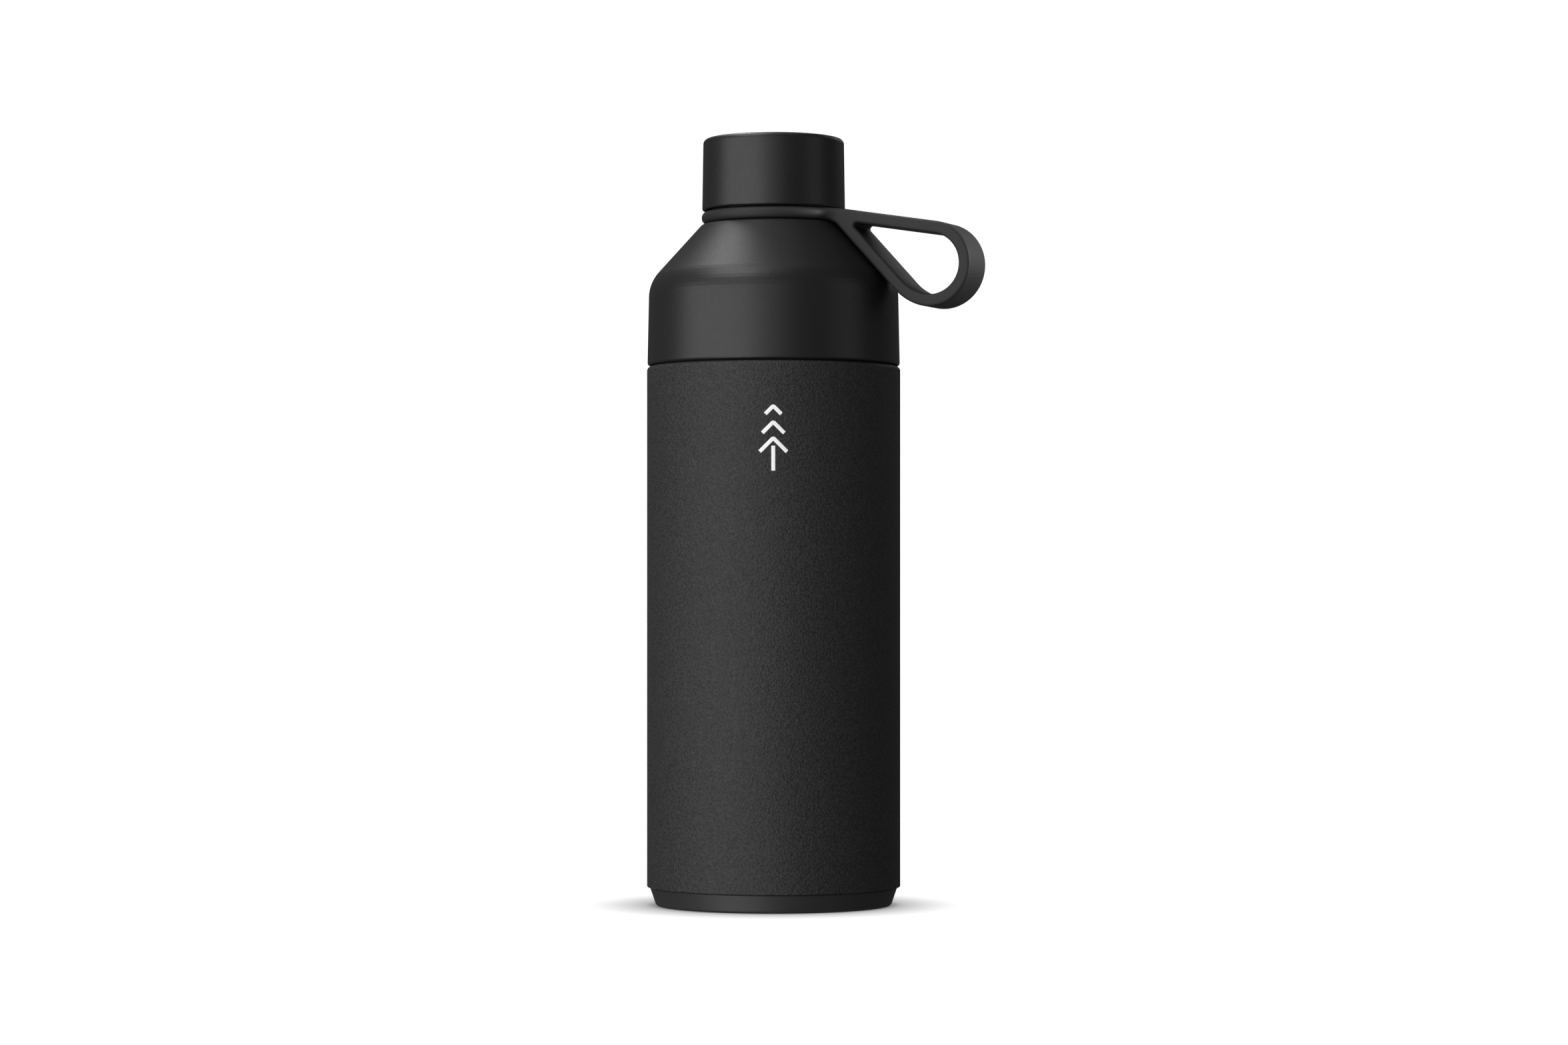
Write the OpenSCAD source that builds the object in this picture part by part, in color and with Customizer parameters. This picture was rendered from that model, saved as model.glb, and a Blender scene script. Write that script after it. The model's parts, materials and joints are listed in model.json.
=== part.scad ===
// Insulated water bottle: a double-walled steel vessel, a threaded shoulder with a
// drinking spout, a screw cap and a moulded carry strap that swivels under the cap.
// Millimetres, +Z up, origin at the centre of the base, +X towards the carry strap.

/* [Vessel] */
// Outer radius of the straight steel body
body_r = 44; // [43:0.5:46]
// Height of the rim that the shoulder screws down on
rim_z = 187; // [150:0.2:220]
// Thickness of the outer steel wall
outer_t = 0.6; // [0.5:0.1:0.8]
// Thickness of the inner steel wall
inner_t = 0.5; // [0.4:0.1:0.6]
// Width of the vacuum space between the two walls
vacuum_gap = 3.5; // [2.8:0.1:3.8]
// Radius of the rounding on the outer edge of the rim
rim_round = 1.5; // [1:0.1:2]
// Radius inside the vessel, where its wall meets its floor
floor_round = 8; // [4:0.5:12]

/* [Base cap] */
// Height of the base cap below the steel body
base_h = 6.3; // [5.2:0.1:7]
// Angle by which the base cap's side leans inwards
base_lean = 19; // [5:1:25]
// Thickness of the base cap's floor
base_t = 2.2; // [1.6:0.1:2.4]

/* [Shoulder] */
// Height of the shoulder from its lower edge to its top land
shoulder_h = 49; // [44:0.5:56]
// Angle of the shoulder's cone from the bottle's axis
cone_angle = 42.15; // [38:0.05:45]
// Radius where the cone would meet the top land without its rounding
cone_top_r = 24.82; // [24:0.02:26]
// Radius of the bend between the shoulder's wall and its cone
shoulder_round = 12.9; // [9:0.1:14]
// Draft of the shoulder's wall
shoulder_draft = 1.15; // [0:0.05:2]
// Thickness of the shoulder's outer shell
shell_t = 1.8; // [1.4:0.1:2]
// Depth that the threaded skirt reaches below the rim
skirt_h = 15.6; // [14:0.1:17]

/* [Spout and cap] */
// Radius of the bore that is drunk from
spout_bore_r = 17.2; // [15:0.1:17.4]
// Outer radius of the spout between its threads
spout_r = 19.7; // [19.4:0.1:19.8]
// Radius of the journal that the strap's ring turns on
journal_r = 20.6; // [20.2:0.1:20.8]
// Height of the spout above the shoulder's top land
spout_h = 18.5; // [18:0.1:19.5]
// Outer radius of the cap at its lower edge
cap_r = 24.83; // [24.6:0.01:25.4]
// Height of the cap
cap_h = 24.8; // [23.5:0.1:28]
// Thickness of the cap's outer shell
cap_t = 1.7; // [1.4:0.1:1.8]
// Radius of the rounding round the cap's top
cap_round = 1.8; // [1:0.1:3]

/* [Threads] */
// Axial distance from one ridge to the next
pitch = 4; // [4:0.1:4.2]
// Angle that one ridge runs round its wall
ridge_sweep = 200; // [120:10:240]

/* [Carry strap] */
// Thickness of the ring under the cap
ring_h = 4.2; // [3.8:0.1:4.3]
// Outer radius of the ring under the cap
ring_r = 25; // [24:0.1:26]
// Width of the strap's band
band_w = 16; // [12:0.5:18]
// Distance from the bottle's axis to the centre of the loop's round end
loop_reach = 61.2; // [60:0.1:62]
// Drop from the ring's top to the centre of the loop's round end
loop_drop = 20.4; // [20:0.1:21]
// Outer radius of the loop's round end
loop_r = 14.6; // [13.5:0.1:15]
// Thickness of the band round the loop's end
band_t = 4.2; // [3:0.1:4.5]

/* [Hidden] */
$fn = 96;

// Clearances: between pieces fixed together, and between pieces that move past each other
fixed_gap = 0.1;
free_gap = 0.4;

// Vessel radii and heights
outer_in_r = body_r - outer_t;
inner_out_r = outer_in_r - vacuum_gap;
mouth_r = inner_out_r - inner_t;
body_z = base_h + fixed_gap;
bottom_z = base_t + 1.2;
floor_z = bottom_z + 6.8;

// Shoulder: corners of its outer outline
shoulder_z = rim_z + free_gap;
land_z = shoulder_z + shoulder_h;
shoulder_r = body_r - 0.15;
// Where the drafted wall meets the cone
bend_z = (cone_top_r + land_z * tan(cone_angle) - shoulder_r - shoulder_z * tan(shoulder_draft))
    / (tan(cone_angle) - tan(shoulder_draft));
bend_r = shoulder_r - (bend_z - shoulder_z) * tan(shoulder_draft);
bend_turn = cone_angle - shoulder_draft;

// Depths of the shoulder's inner layers, measured square to its outer surface
foam_depth = shell_t + 0.2;
liner_depth = foam_depth + 4.2;
liner_t = 1.5;

// Threaded skirt and gasket seat
thread_depth = 1.1;
skirt_r = mouth_r - free_gap - thread_depth;
skirt_t = 1.7;
gasket_t = 1.5;
seat_z = rim_z + gasket_t + 2 * fixed_gap;
flange_t = 2;

// Strap ring, bead, cap and its parts, from the shoulder's top land upwards
ring_z = land_z + 0.2;
ring_top_z = ring_z + ring_h;
bead_z = ring_top_z + 0.25;
bead_r = journal_r + 1.2;
cap_z = ring_top_z + 0.5;
cap_top_z = cap_z + cap_h;
spout_top_z = land_z + spout_h;
liner_z = cap_z + 2;
cap_wall_r = spout_r + thread_depth + free_gap;
cap_core_r = cap_r - cap_t - 0.4;
seal_z = spout_top_z + 0.15;
seal_t = 1.5;
cap_floor_z = seal_z + seal_t + fixed_gap;

// Threads: three starts, so the lead is three pitches
starts = 3;
lead = starts * pitch;
ridge_foot = 2;
ridge_tip = 1;
ridge_steps = 25;
root_sink = 0.3;
mouth_thread_z = rim_z - 11.6;
spout_thread_z = land_z + 9.2;

// Carry strap: slopes of its two arms, and the wide bends where the lower arm meets the end
upper_slope = 9.1;
lower_slope = 47;
outer_bend_r = loop_r + 5;
inner_bend_r = outer_bend_r - 3.3;
bend_start = -108;
apex_round = 0.9;

// Points of an arc about c, from angle a0 to angle a1, at about six degrees a step
function arc(c, r, a0, a1) =
    let (n = max(3, ceil(abs(a1 - a0) / 6)))
    [for (i = [0:n]) let (a = a0 + (a1 - a0) * i / n) c + r * [cos(a), sin(a)]];

function flat(p) = [p[0], p[1]];
function unit(v) = v / norm(v);
function heading(v) = atan2(v[1], v[0]);
function nearest_turn(a) = a > 180 ? a - 360 : a < -180 ? a + 360 : a;

// Corner b between its neighbours a and c, rounded to the radius that b carries third
function corner(a, b, c) =
    b[2] == undef || b[2] <= 0 ? [flat(b)] :
    let (
        to_a = unit(flat(a) - flat(b)),
        to_c = unit(flat(c) - flat(b)),
        half = acos(to_a * to_c) / 2,
        centre = flat(b) + unit(to_a + to_c) * b[2] / sin(half),
        run = b[2] / tan(half),
        a0 = heading(flat(b) + to_a * run - centre),
        a1 = a0 + nearest_turn(heading(flat(b) + to_c * run - centre) - a0)
    )
    arc(centre, b[2], a0, a1);

// Outline with its corners rounded; each point is [x, y] or [x, y, radius]
function outline(p) =
    let (n = len(p))
    [for (i = [0:n - 1]) each corner(p[(i + n - 1) % n], p[i], p[(i + 1) % n])];

// Ring or disc turned from an outline of [radius, height, rounding] points
module turned(p) {
    rotate_extrude()
        polygon(outline(p));
}

// One helical ridge, tapered out at both ends
module ridge(root_r, crest_r, z, start) {
    n = ridge_steps;
    rise = lead * ridge_sweep / 360;
    points = [for (i = [0:n])
        let (
            a = start + ridge_sweep * i / n,
            h = z + rise * i / n,
            grown = min(1, 0.25 + i / 3, 0.25 + (n - i) / 3),
            r = root_r + (crest_r - root_r) * grown
        )
        each [
            [root_r * cos(a), root_r * sin(a), h - ridge_foot / 2],
            [r * cos(a), r * sin(a), h - ridge_tip / 2],
            [r * cos(a), r * sin(a), h + ridge_tip / 2],
            [root_r * cos(a), root_r * sin(a), h + ridge_foot / 2]
        ]];
    sides = [for (i = [0:n - 1], j = [0:3])
        let (k = 4 * i, m = (j + 1) % 4)
        each [[k + j, k + m, k + m + 4], [k + j, k + m + 4, k + j + 4]]];
    ends = [[3, 2, 1], [3, 1, 0], [4 * n, 4 * n + 1, 4 * n + 2], [4 * n, 4 * n + 2, 4 * n + 3]];
    faces = concat(sides, ends);
    outward = crest_r > root_r;
    polyhedron(points, outward ? faces : [for (f = faces) [f[2], f[1], f[0]]]);
}

// A thread's ridges, one for each start
module thread(root_r, crest_r, z) {
    for (i = [0:starts - 1])
        ridge(root_r, crest_r, z, 360 * i / starts);
}

// Corners of the shoulder's outline at a depth below its outer surface
function bend_at(depth) =
    [bend_r - depth, bend_z - depth * tan(bend_turn / 2), shoulder_round - depth];
function top_at(depth, round) =
    [cone_top_r - depth * tan(45 - cone_angle / 2), land_z - depth, round];
function wall_r_at(depth, z) = shoulder_r - depth - (z - shoulder_z) * tan(shoulder_draft);

// Vessel

module outer_wall() {
    color("#2b2b2d")
        turned([
            [outer_in_r, body_z],
            [body_r, body_z, 0.4],
            [body_r, rim_z, rim_round],
            [inner_out_r + fixed_gap, rim_z],
            [inner_out_r + fixed_gap, rim_z - outer_t],
            [outer_in_r, rim_z - outer_t, rim_round - outer_t]
        ]);
}

module inner_wall() {
    color("#c2c4c6") {
        turned([
            [0, floor_z - inner_t],
            [inner_out_r, floor_z - inner_t, floor_round + inner_t],
            [inner_out_r, rim_z],
            [mouth_r, rim_z],
            [mouth_r, floor_z, floor_round],
            [0, floor_z]
        ]);
        thread(mouth_r + root_sink, mouth_r - thread_depth, mouth_thread_z);
    }
}

module heat_foil() {
    foil_t = 0.1;
    foil_r = inner_out_r + 0.3;
    foil_z = floor_z + floor_round + 2;
    foil_top = mouth_thread_z - 10;
    color("#b87346")
        translate([0, 0, foil_z])
            difference() {
                cylinder(r = foil_r + foil_t, h = foil_top - foil_z);
                translate([0, 0, -1])
                    cylinder(r = foil_r, h = mouth_thread_z);
            }
}

// Pressed cup that closes the outer wall, with a dimple and a hole for pumping it out
module vessel_bottom() {
    cup_r = body_r - 4.1;
    flange_r = outer_in_r - fixed_gap;
    ledge_z = body_z + 0.1;
    color("#b4b6b8")
        turned([
            [1, bottom_z + 1.2],
            [7, bottom_z + 1.2],
            [8.4, bottom_z],
            [cup_r, bottom_z, 1.6],
            [cup_r, ledge_z],
            [flange_r, ledge_z, 1.2],
            [flange_r, body_z + 6],
            [flange_r - outer_t, body_z + 6],
            [flange_r - outer_t, ledge_z + outer_t, 0.4],
            [cup_r - outer_t, ledge_z + outer_t],
            [cup_r - outer_t, bottom_z + outer_t, 0.8],
            [8.8, bottom_z + outer_t],
            [7.4, bottom_z + 1.2 + outer_t],
            [1, bottom_z + 1.2 + outer_t]
        ]);
}

module getter() {
    color("#8f9092")
        translate([22, 0, bottom_z + outer_t + fixed_gap])
            turned([[0, 0], [7, 0, 0.4], [7, 2, 0.6], [0, 2]]);
}

// Glass drop that seals the pumping hole, with a short stem in the hole
module port_seal() {
    drop_z = bottom_z + 1.2 - fixed_gap;
    color("#7f97a0")
        turned([
            [0, drop_z - 0.8],
            [3.6, drop_z - 0.8, 0.4],
            [4.5, drop_z],
            [0.8, drop_z],
            [0.8, drop_z + 0.8],
            [0, drop_z + 0.8]
        ]);
}

module base_pad() {
    pad_t = bottom_z - base_t - 2 * fixed_gap;
    color("#d8d4c8")
        translate([0, 0, base_t + fixed_gap])
            difference() {
                cylinder(r = 34, h = pad_t);
                translate([0, 0, -1])
                    cylinder(r = 11, h = pad_t + 2);
            }
}

module base_cap() {
    top_r = body_r - 1;
    foot_r = top_r - base_h * tan(base_lean);
    recess_r = body_r - 3.8;
    color("#242426")
        turned([
            [0, 0],
            [foot_r, 0, 1.3],
            [top_r, base_h, 0.3],
            [recess_r, base_h],
            [recess_r, base_t, 1.6],
            [0, base_t]
        ]);
}

// Shoulder

module shoulder_gasket() {
    color("#3a3a3c")
        turned([
            [skirt_r + free_gap, rim_z + fixed_gap, 0.4],
            [body_r - 2.3, rim_z + fixed_gap, 0.4],
            [body_r - 2.3, rim_z + fixed_gap + gasket_t, 0.4],
            [skirt_r + free_gap, rim_z + fixed_gap + gasket_t, 0.4]
        ]);
}

module shoulder_shell() {
    hole_r = journal_r + 0.2;
    color("#262628")
        turned([
            [shoulder_r - shell_t, shoulder_z],
            [shoulder_r, shoulder_z, 0.8],
            bend_at(0),
            top_at(0, 2),
            [hole_r, land_z, 0.4],
            [hole_r, land_z - shell_t],
            top_at(shell_t, 0.5),
            bend_at(shell_t)
        ]);
}

// Foam ring that fills the space between the shoulder's shell and its liner
module shoulder_foam() {
    foot_z = seat_z + flange_t + 0.3;
    hole_r = journal_r + 2;
    liner_gap = liner_depth - 0.2;
    color("#d9d3bd")
        turned([
            [wall_r_at(liner_gap, foot_z), foot_z],
            [wall_r_at(foam_depth, foot_z), foot_z],
            bend_at(foam_depth),
            top_at(foam_depth, 0),
            [hole_r, land_z - foam_depth],
            [hole_r, land_z - liner_gap],
            [cone_top_r - liner_gap * tan(45 - cone_angle / 2), land_z - liner_gap],
            bend_at(liner_gap)
        ]);
}

// Liner with the threaded skirt that screws into the vessel's mouth
module shoulder_liner() {
    skirt_z = rim_z - skirt_h;
    inner_depth = liner_depth + liner_t;
    flange_r = shoulder_r - shell_t - 0.15;
    color("#2e2e30") {
        turned([
            [skirt_r - skirt_t, skirt_z, 0.4],
            [skirt_r, skirt_z, 0.6],
            [skirt_r, seat_z],
            [flange_r, seat_z, 0.3],
            [flange_r, seat_z + flange_t, 0.3],
            [wall_r_at(liner_depth, seat_z + flange_t), seat_z + flange_t],
            bend_at(liner_depth),
            top_at(liner_depth, 1),
            [spout_bore_r, land_z - liner_depth],
            [spout_bore_r, land_z - inner_depth, 0.6],
            top_at(inner_depth, 1),
            bend_at(inner_depth),
            [wall_r_at(inner_depth, seat_z + flange_t), seat_z + flange_t]
        ]);
        thread(skirt_r - root_sink, skirt_r + thread_depth, mouth_thread_z - pitch / 2);
    }
}

// Spout with its foot on the liner, the strap's journal and its bead, and the cap's thread
module spout() {
    foot_z = land_z - liner_depth + fixed_gap;
    foot_r = journal_r + 1.2;
    color("#2e2e30") {
        turned([
            [spout_bore_r, foot_z],
            [foot_r, foot_z],
            [foot_r, foot_z + 1.5, 0.4],
            [journal_r, foot_z + 1.5],
            [journal_r, bead_z],
            [bead_r, bead_z, 0.4],
            [bead_r, bead_z + 1.3, 0.9],
            [spout_r, bead_z + 1.8],
            [spout_r, spout_top_z, 1.1],
            [spout_bore_r, spout_top_z, 1.1]
        ]);
        thread(spout_r - root_sink, spout_r + thread_depth, spout_thread_z);
    }
}

// Carry strap: outlines in the plane through the bottle's axis

loop_centre = [loop_reach, ring_top_z - loop_drop];
loop_in_r = loop_r - band_t;

// Round end of the loop and the wide bend after it, both clockwise
function loop_end(r, bend) =
    let (
        away = [cos(bend_start), sin(bend_start)],
        bend_centre = loop_centre - (bend - r) * away
    )
    concat(
        arc(loop_centre, r, 90 - upper_slope, bend_start),
        arc(bend_centre, bend, bend_start, -90 - lower_slope)
    );

// Where the line through p with slope -a reaches height z
function along(p, a, z) = [p[0] - (z - p[1]) / tan(a), z];

function meeting(p, a, q, b) =
    let (u = (q[1] - p[1] + q[0] * tan(b) - p[0] * tan(a)) / (tan(b) - tan(a)))
    [u, p[1] - (u - p[0]) * tan(a)];

outer_end = loop_end(loop_r, outer_bend_r);
inner_end = loop_end(loop_in_r, inner_bend_r);
outer_first = outer_end[0];
outer_last = outer_end[len(outer_end) - 1];
inner_first = inner_end[0];
inner_last = inner_end[len(inner_end) - 1];
apex = meeting(inner_first, upper_slope, inner_last, lower_slope);

module carry_strap() {
    ring_bore_r = journal_r + 0.3;
    ring_mid_r = (ring_bore_r + ring_r) / 2;
    color("#333335")
        difference() {
            union() {
                turned([
                    [ring_bore_r, ring_z],
                    [ring_r, ring_z, ring_h / 2 - 0.01],
                    [ring_r, ring_top_z, ring_h / 2 - 0.01],
                    [ring_bore_r, ring_top_z]
                ]);
                rotate([90, 0, 0])
                    linear_extrude(height = band_w, center = true)
                        difference() {
                            polygon(concat(
                                [[ring_mid_r, ring_top_z]],
                                [along(outer_first, upper_slope, ring_top_z)],
                                outer_end,
                                [along(outer_last, lower_slope, ring_z)],
                                [[ring_mid_r, ring_z]]
                            ));
                            polygon(concat(
                                inner_end,
                                corner(inner_last, [apex[0], apex[1], apex_round], inner_first)
                            ));
                        }
            }
            translate([0, 0, ring_z - 1])
                cylinder(r = ring_bore_r, h = ring_h + 2);
        }
}

// Cap

module cap_seal() {
    color("#b9bab8")
        turned([
            [spout_bore_r + 0.2, seal_z, 0.3],
            [cap_wall_r - 0.4, seal_z, 0.3],
            [cap_wall_r - 0.4, seal_z + seal_t, 0.3],
            [spout_bore_r + 0.2, seal_z + seal_t, 0.3]
        ]);
}

module cap_shell() {
    top_r = cap_r - 0.38;
    color("#262628")
        turned([
            [cap_r - cap_t, cap_z, 0.3],
            [cap_r, cap_z, 0.5],
            [top_r, cap_top_z, cap_round],
            [0, cap_top_z],
            [0, cap_top_z - cap_t],
            [top_r - cap_t, cap_top_z - cap_t, 0.4]
        ]);
}

module cap_liner() {
    disc_t = 1.5;
    color("#2e2e30") {
        turned([
            [cap_wall_r, liner_z, 0.4],
            [cap_core_r, liner_z, 0.4],
            [cap_core_r, cap_floor_z + disc_t],
            [0, cap_floor_z + disc_t],
            [0, cap_floor_z],
            [cap_wall_r, cap_floor_z]
        ]);
        thread(cap_wall_r + root_sink, cap_wall_r - thread_depth - 0.1, spout_thread_z + pitch / 2);
    }
}

module cap_foam() {
    disc_t = 1.5;
    foot_z = cap_floor_z + disc_t + fixed_gap;
    color("#d9d3bd")
        translate([0, 0, foot_z])
            cylinder(r = cap_core_r - 0.3, h = cap_top_z - cap_t - 0.2 - foot_z);
}

outer_wall();
inner_wall();
heat_foil();
vessel_bottom();
getter();
port_seal();
base_pad();
base_cap();
shoulder_gasket();
shoulder_shell();
shoulder_liner();
shoulder_foam();
spout();
carry_strap();
cap_seal();
cap_shell();
cap_liner();
cap_foam();
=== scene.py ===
"""Looks of an insulated water bottle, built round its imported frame.

Every piece is worked out in millimetres in the frame's own axes (+Z up, +X towards
the carry strap) and put into Blender in metres, at the origin.
"""

from __future__ import annotations

import json
import logging
import math
from collections.abc import Callable, Sequence
from dataclasses import dataclass, field
from enum import Enum

import bpy
import numpy as np
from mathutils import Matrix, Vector

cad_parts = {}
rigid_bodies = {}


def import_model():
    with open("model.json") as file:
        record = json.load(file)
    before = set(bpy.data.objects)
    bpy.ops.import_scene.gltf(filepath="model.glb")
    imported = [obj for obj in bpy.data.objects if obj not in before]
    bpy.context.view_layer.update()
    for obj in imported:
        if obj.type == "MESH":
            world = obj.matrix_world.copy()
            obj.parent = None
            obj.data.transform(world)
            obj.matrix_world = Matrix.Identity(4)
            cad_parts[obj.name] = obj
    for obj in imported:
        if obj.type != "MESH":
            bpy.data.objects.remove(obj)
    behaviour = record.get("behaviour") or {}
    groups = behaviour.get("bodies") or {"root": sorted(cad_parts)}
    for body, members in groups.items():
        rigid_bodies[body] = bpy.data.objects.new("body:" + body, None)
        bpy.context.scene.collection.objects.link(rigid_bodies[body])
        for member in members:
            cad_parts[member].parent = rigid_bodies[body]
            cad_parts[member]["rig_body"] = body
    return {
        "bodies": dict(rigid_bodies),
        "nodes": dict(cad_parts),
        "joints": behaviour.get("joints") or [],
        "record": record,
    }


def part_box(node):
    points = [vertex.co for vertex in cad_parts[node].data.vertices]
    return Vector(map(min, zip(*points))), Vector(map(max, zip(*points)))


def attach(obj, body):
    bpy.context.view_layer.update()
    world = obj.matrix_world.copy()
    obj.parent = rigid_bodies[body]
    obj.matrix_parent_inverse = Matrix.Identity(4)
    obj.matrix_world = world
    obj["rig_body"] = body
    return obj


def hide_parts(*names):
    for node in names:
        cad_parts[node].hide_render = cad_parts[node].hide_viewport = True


MM = 0.001  # a millimetre, in metres
TINY = 1e-6  # what counts as nothing
FINE = 320  # points round the widest smooth pieces
LOG = logging.getLogger("bottle")

Corner = tuple[float, float, float]
Relief = Callable[[np.ndarray, np.ndarray, np.ndarray], np.ndarray]


# ---------------------------------------------------------------- outlines


def arc(
    centre: Sequence[float], radius: float, start: float, end: float, step: float = 6.0
) -> np.ndarray:
    """Points at equal angles along a circle's arc.

    Args:
        centre: The circle's centre.
        radius: The circle's radius.
        start: Angle of the first point, in degrees.
        end: Angle of the last point, in degrees.
        step: Largest angle between two points, in degrees.

    Returns:
        The points, one row each.
    """
    count = max(3, math.ceil(abs(end - start) / step))
    angle = np.radians(np.linspace(start, end, count + 1))
    return np.array(centre, float) + radius * np.stack([np.cos(angle), np.sin(angle)], 1)


def heading(v: np.ndarray) -> float:
    """Angle of a plane vector from the first axis, in degrees."""
    return math.degrees(math.atan2(v[1], v[0]))


def rounded_corner(before: Corner, here: Corner, after: Corner) -> np.ndarray:
    """One corner of an outline, replaced by the arc that touches both of its sides.

    Args:
        before: The corner before it.
        here: The corner, whose third number is its rounding.
        after: The corner after it.

    Returns:
        The arc's points, or the corner itself where it has no rounding.
    """
    a, b, c = (np.array(p[:2], float) for p in (before, here, after))
    if here[2] <= 0:
        return b[None]
    to_a, to_c = (a - b) / np.linalg.norm(a - b), (c - b) / np.linalg.norm(c - b)
    half = math.acos(float(np.clip(to_a @ to_c, -1, 1))) / 2
    middle = (to_a + to_c) / np.linalg.norm(to_a + to_c)
    centre = b + middle * here[2] / math.sin(half)
    run = here[2] / math.tan(half)
    start = heading(b + to_a * run - centre)
    turn = (heading(b + to_c * run - centre) - start + 180) % 360 - 180
    return arc(centre, here[2], start, start + turn)


def rounded_outline(corners: Sequence[Corner], closed: bool = True) -> np.ndarray:
    """Outline with its corners rounded.

    Args:
        corners: Each corner's two coordinates and its rounding.
        closed: Whether the last corner joins the first.

    Returns:
        The outline's points, one row each.
    """
    n = len(corners)
    parts = []
    for i, here in enumerate(corners):
        if not closed and i in (0, n - 1):
            parts.append(np.array([here[:2]], float))
        else:
            parts.append(rounded_corner(corners[i - 1], here, corners[(i + 1) % n]))
    return np.concatenate(parts)


def supported(
    points: np.ndarray, closed: bool, near: float = 0.12, longest: float = 8.0
) -> np.ndarray:
    """Outline with extra points on its straight stretches, so that flats shade flat.

    Args:
        points: The outline's points.
        closed: Whether the last point joins the first.
        near: Distance of the extra points from a stretch's ends.
        longest: Largest distance between two points of the result.

    Returns:
        The outline's points with the extra ones among them.
    """
    ends = np.roll(points, -1, axis=0) if closed else points[1:]
    out = []
    for a, b in zip(points, ends):
        length = float(np.linalg.norm(b - a))
        shares = [0.0]
        if length > 4 * near:
            inner = np.linspace(near, length - near, max(2, math.ceil(length / longest) + 1))
            shares += list(inner / length)
        out.append(a + np.array(shares)[:, None] * (b - a))
    if not closed:
        out.append(points[-1:])
    return np.concatenate(out)


# ---------------------------------------------------------------- surfaces


def grid_quads(rows: int, columns: int, wrap_rows: bool, wrap_columns: bool) -> np.ndarray:
    """Quads of a grid of points numbered row by row.

    Args:
        rows: Number of rows of points.
        columns: Number of points in a row.
        wrap_rows: Whether the last row joins the first.
        wrap_columns: Whether a row's last point joins its first.

    Returns:
        The four point numbers of each quad.
    """
    i = np.arange(rows if wrap_rows else rows - 1)[:, None]
    j = np.arange(columns if wrap_columns else columns - 1)[None, :]
    i2, j2 = (i + 1) % rows, (j + 1) % columns
    corners = (i * columns + j, i * columns + j2, i2 * columns + j2, i2 * columns + j)
    return np.stack([np.broadcast_to(c, (i.size, j.size)).ravel() for c in corners], 1)


@dataclass
class Shape:
    """Points in millimetres and the faces between them.

    Attributes:
        points: One row a point.
        quads: Point numbers of the four-sided faces.
        triangles: Point numbers of the three-sided faces.
    """

    points: np.ndarray
    quads: np.ndarray
    triangles: np.ndarray = field(default_factory=lambda: np.zeros((0, 3), int))

    def volume(self) -> float:
        """Volume inside the faces: a sixth of the sum of each triangle's a . (b x c).

        Returns:
            The volume, positive when the faces point outwards.
        """
        q = self.quads
        t = np.concatenate([q[:, [0, 1, 2]], q[:, [0, 2, 3]], self.triangles])
        a, b, c = (self.points[t[:, k]] for k in range(3))
        return float(np.einsum("ij,ij->i", a, np.cross(b, c)).sum() / 6)

    def outward(self) -> "Shape":
        """Turns the faces outwards.

        Returns:
            The same shape.
        """
        if self.volume() < 0:
            self.quads = self.quads[:, ::-1]
            self.triangles = self.triangles[:, ::-1]
        return self

    def joined(self, other: "Shape") -> "Shape":
        """Puts two shapes together.

        Args:
            other: The second shape.

        Returns:
            Both as one new shape.
        """
        n = len(self.points)
        return Shape(
            np.concatenate([self.points, other.points]),
            np.concatenate([self.quads, other.quads + n]),
            np.concatenate([self.triangles, other.triangles + n]),
        )

    def mesh_object(self, name: str) -> bpy.types.Object:
        """The shape as a smooth-shaded Blender object in metres.

        Args:
            name: The object's name.

        Returns:
            The new object, linked to the scene and at the origin.
        """
        mesh = bpy.data.meshes.new(name)
        sizes = np.concatenate([np.full(len(self.quads), 4), np.full(len(self.triangles), 3)])
        loops = np.concatenate([self.quads.ravel(), self.triangles.ravel()])
        mesh.vertices.add(len(self.points))
        mesh.vertices.foreach_set("co", (self.points * MM).astype(np.float32).ravel())
        mesh.loops.add(len(loops))
        mesh.loops.foreach_set("vertex_index", loops.astype(np.int32))
        mesh.polygons.add(len(sizes))
        mesh.polygons.foreach_set("loop_start", (np.cumsum(sizes) - sizes).astype(np.int32))
        mesh.polygons.foreach_set("use_smooth", np.ones(len(sizes), bool))
        mesh.update(calc_edges=True)
        mesh.validate()
        made = bpy.data.objects.new(name, mesh)
        bpy.context.scene.collection.objects.link(made)
        return made


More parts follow.
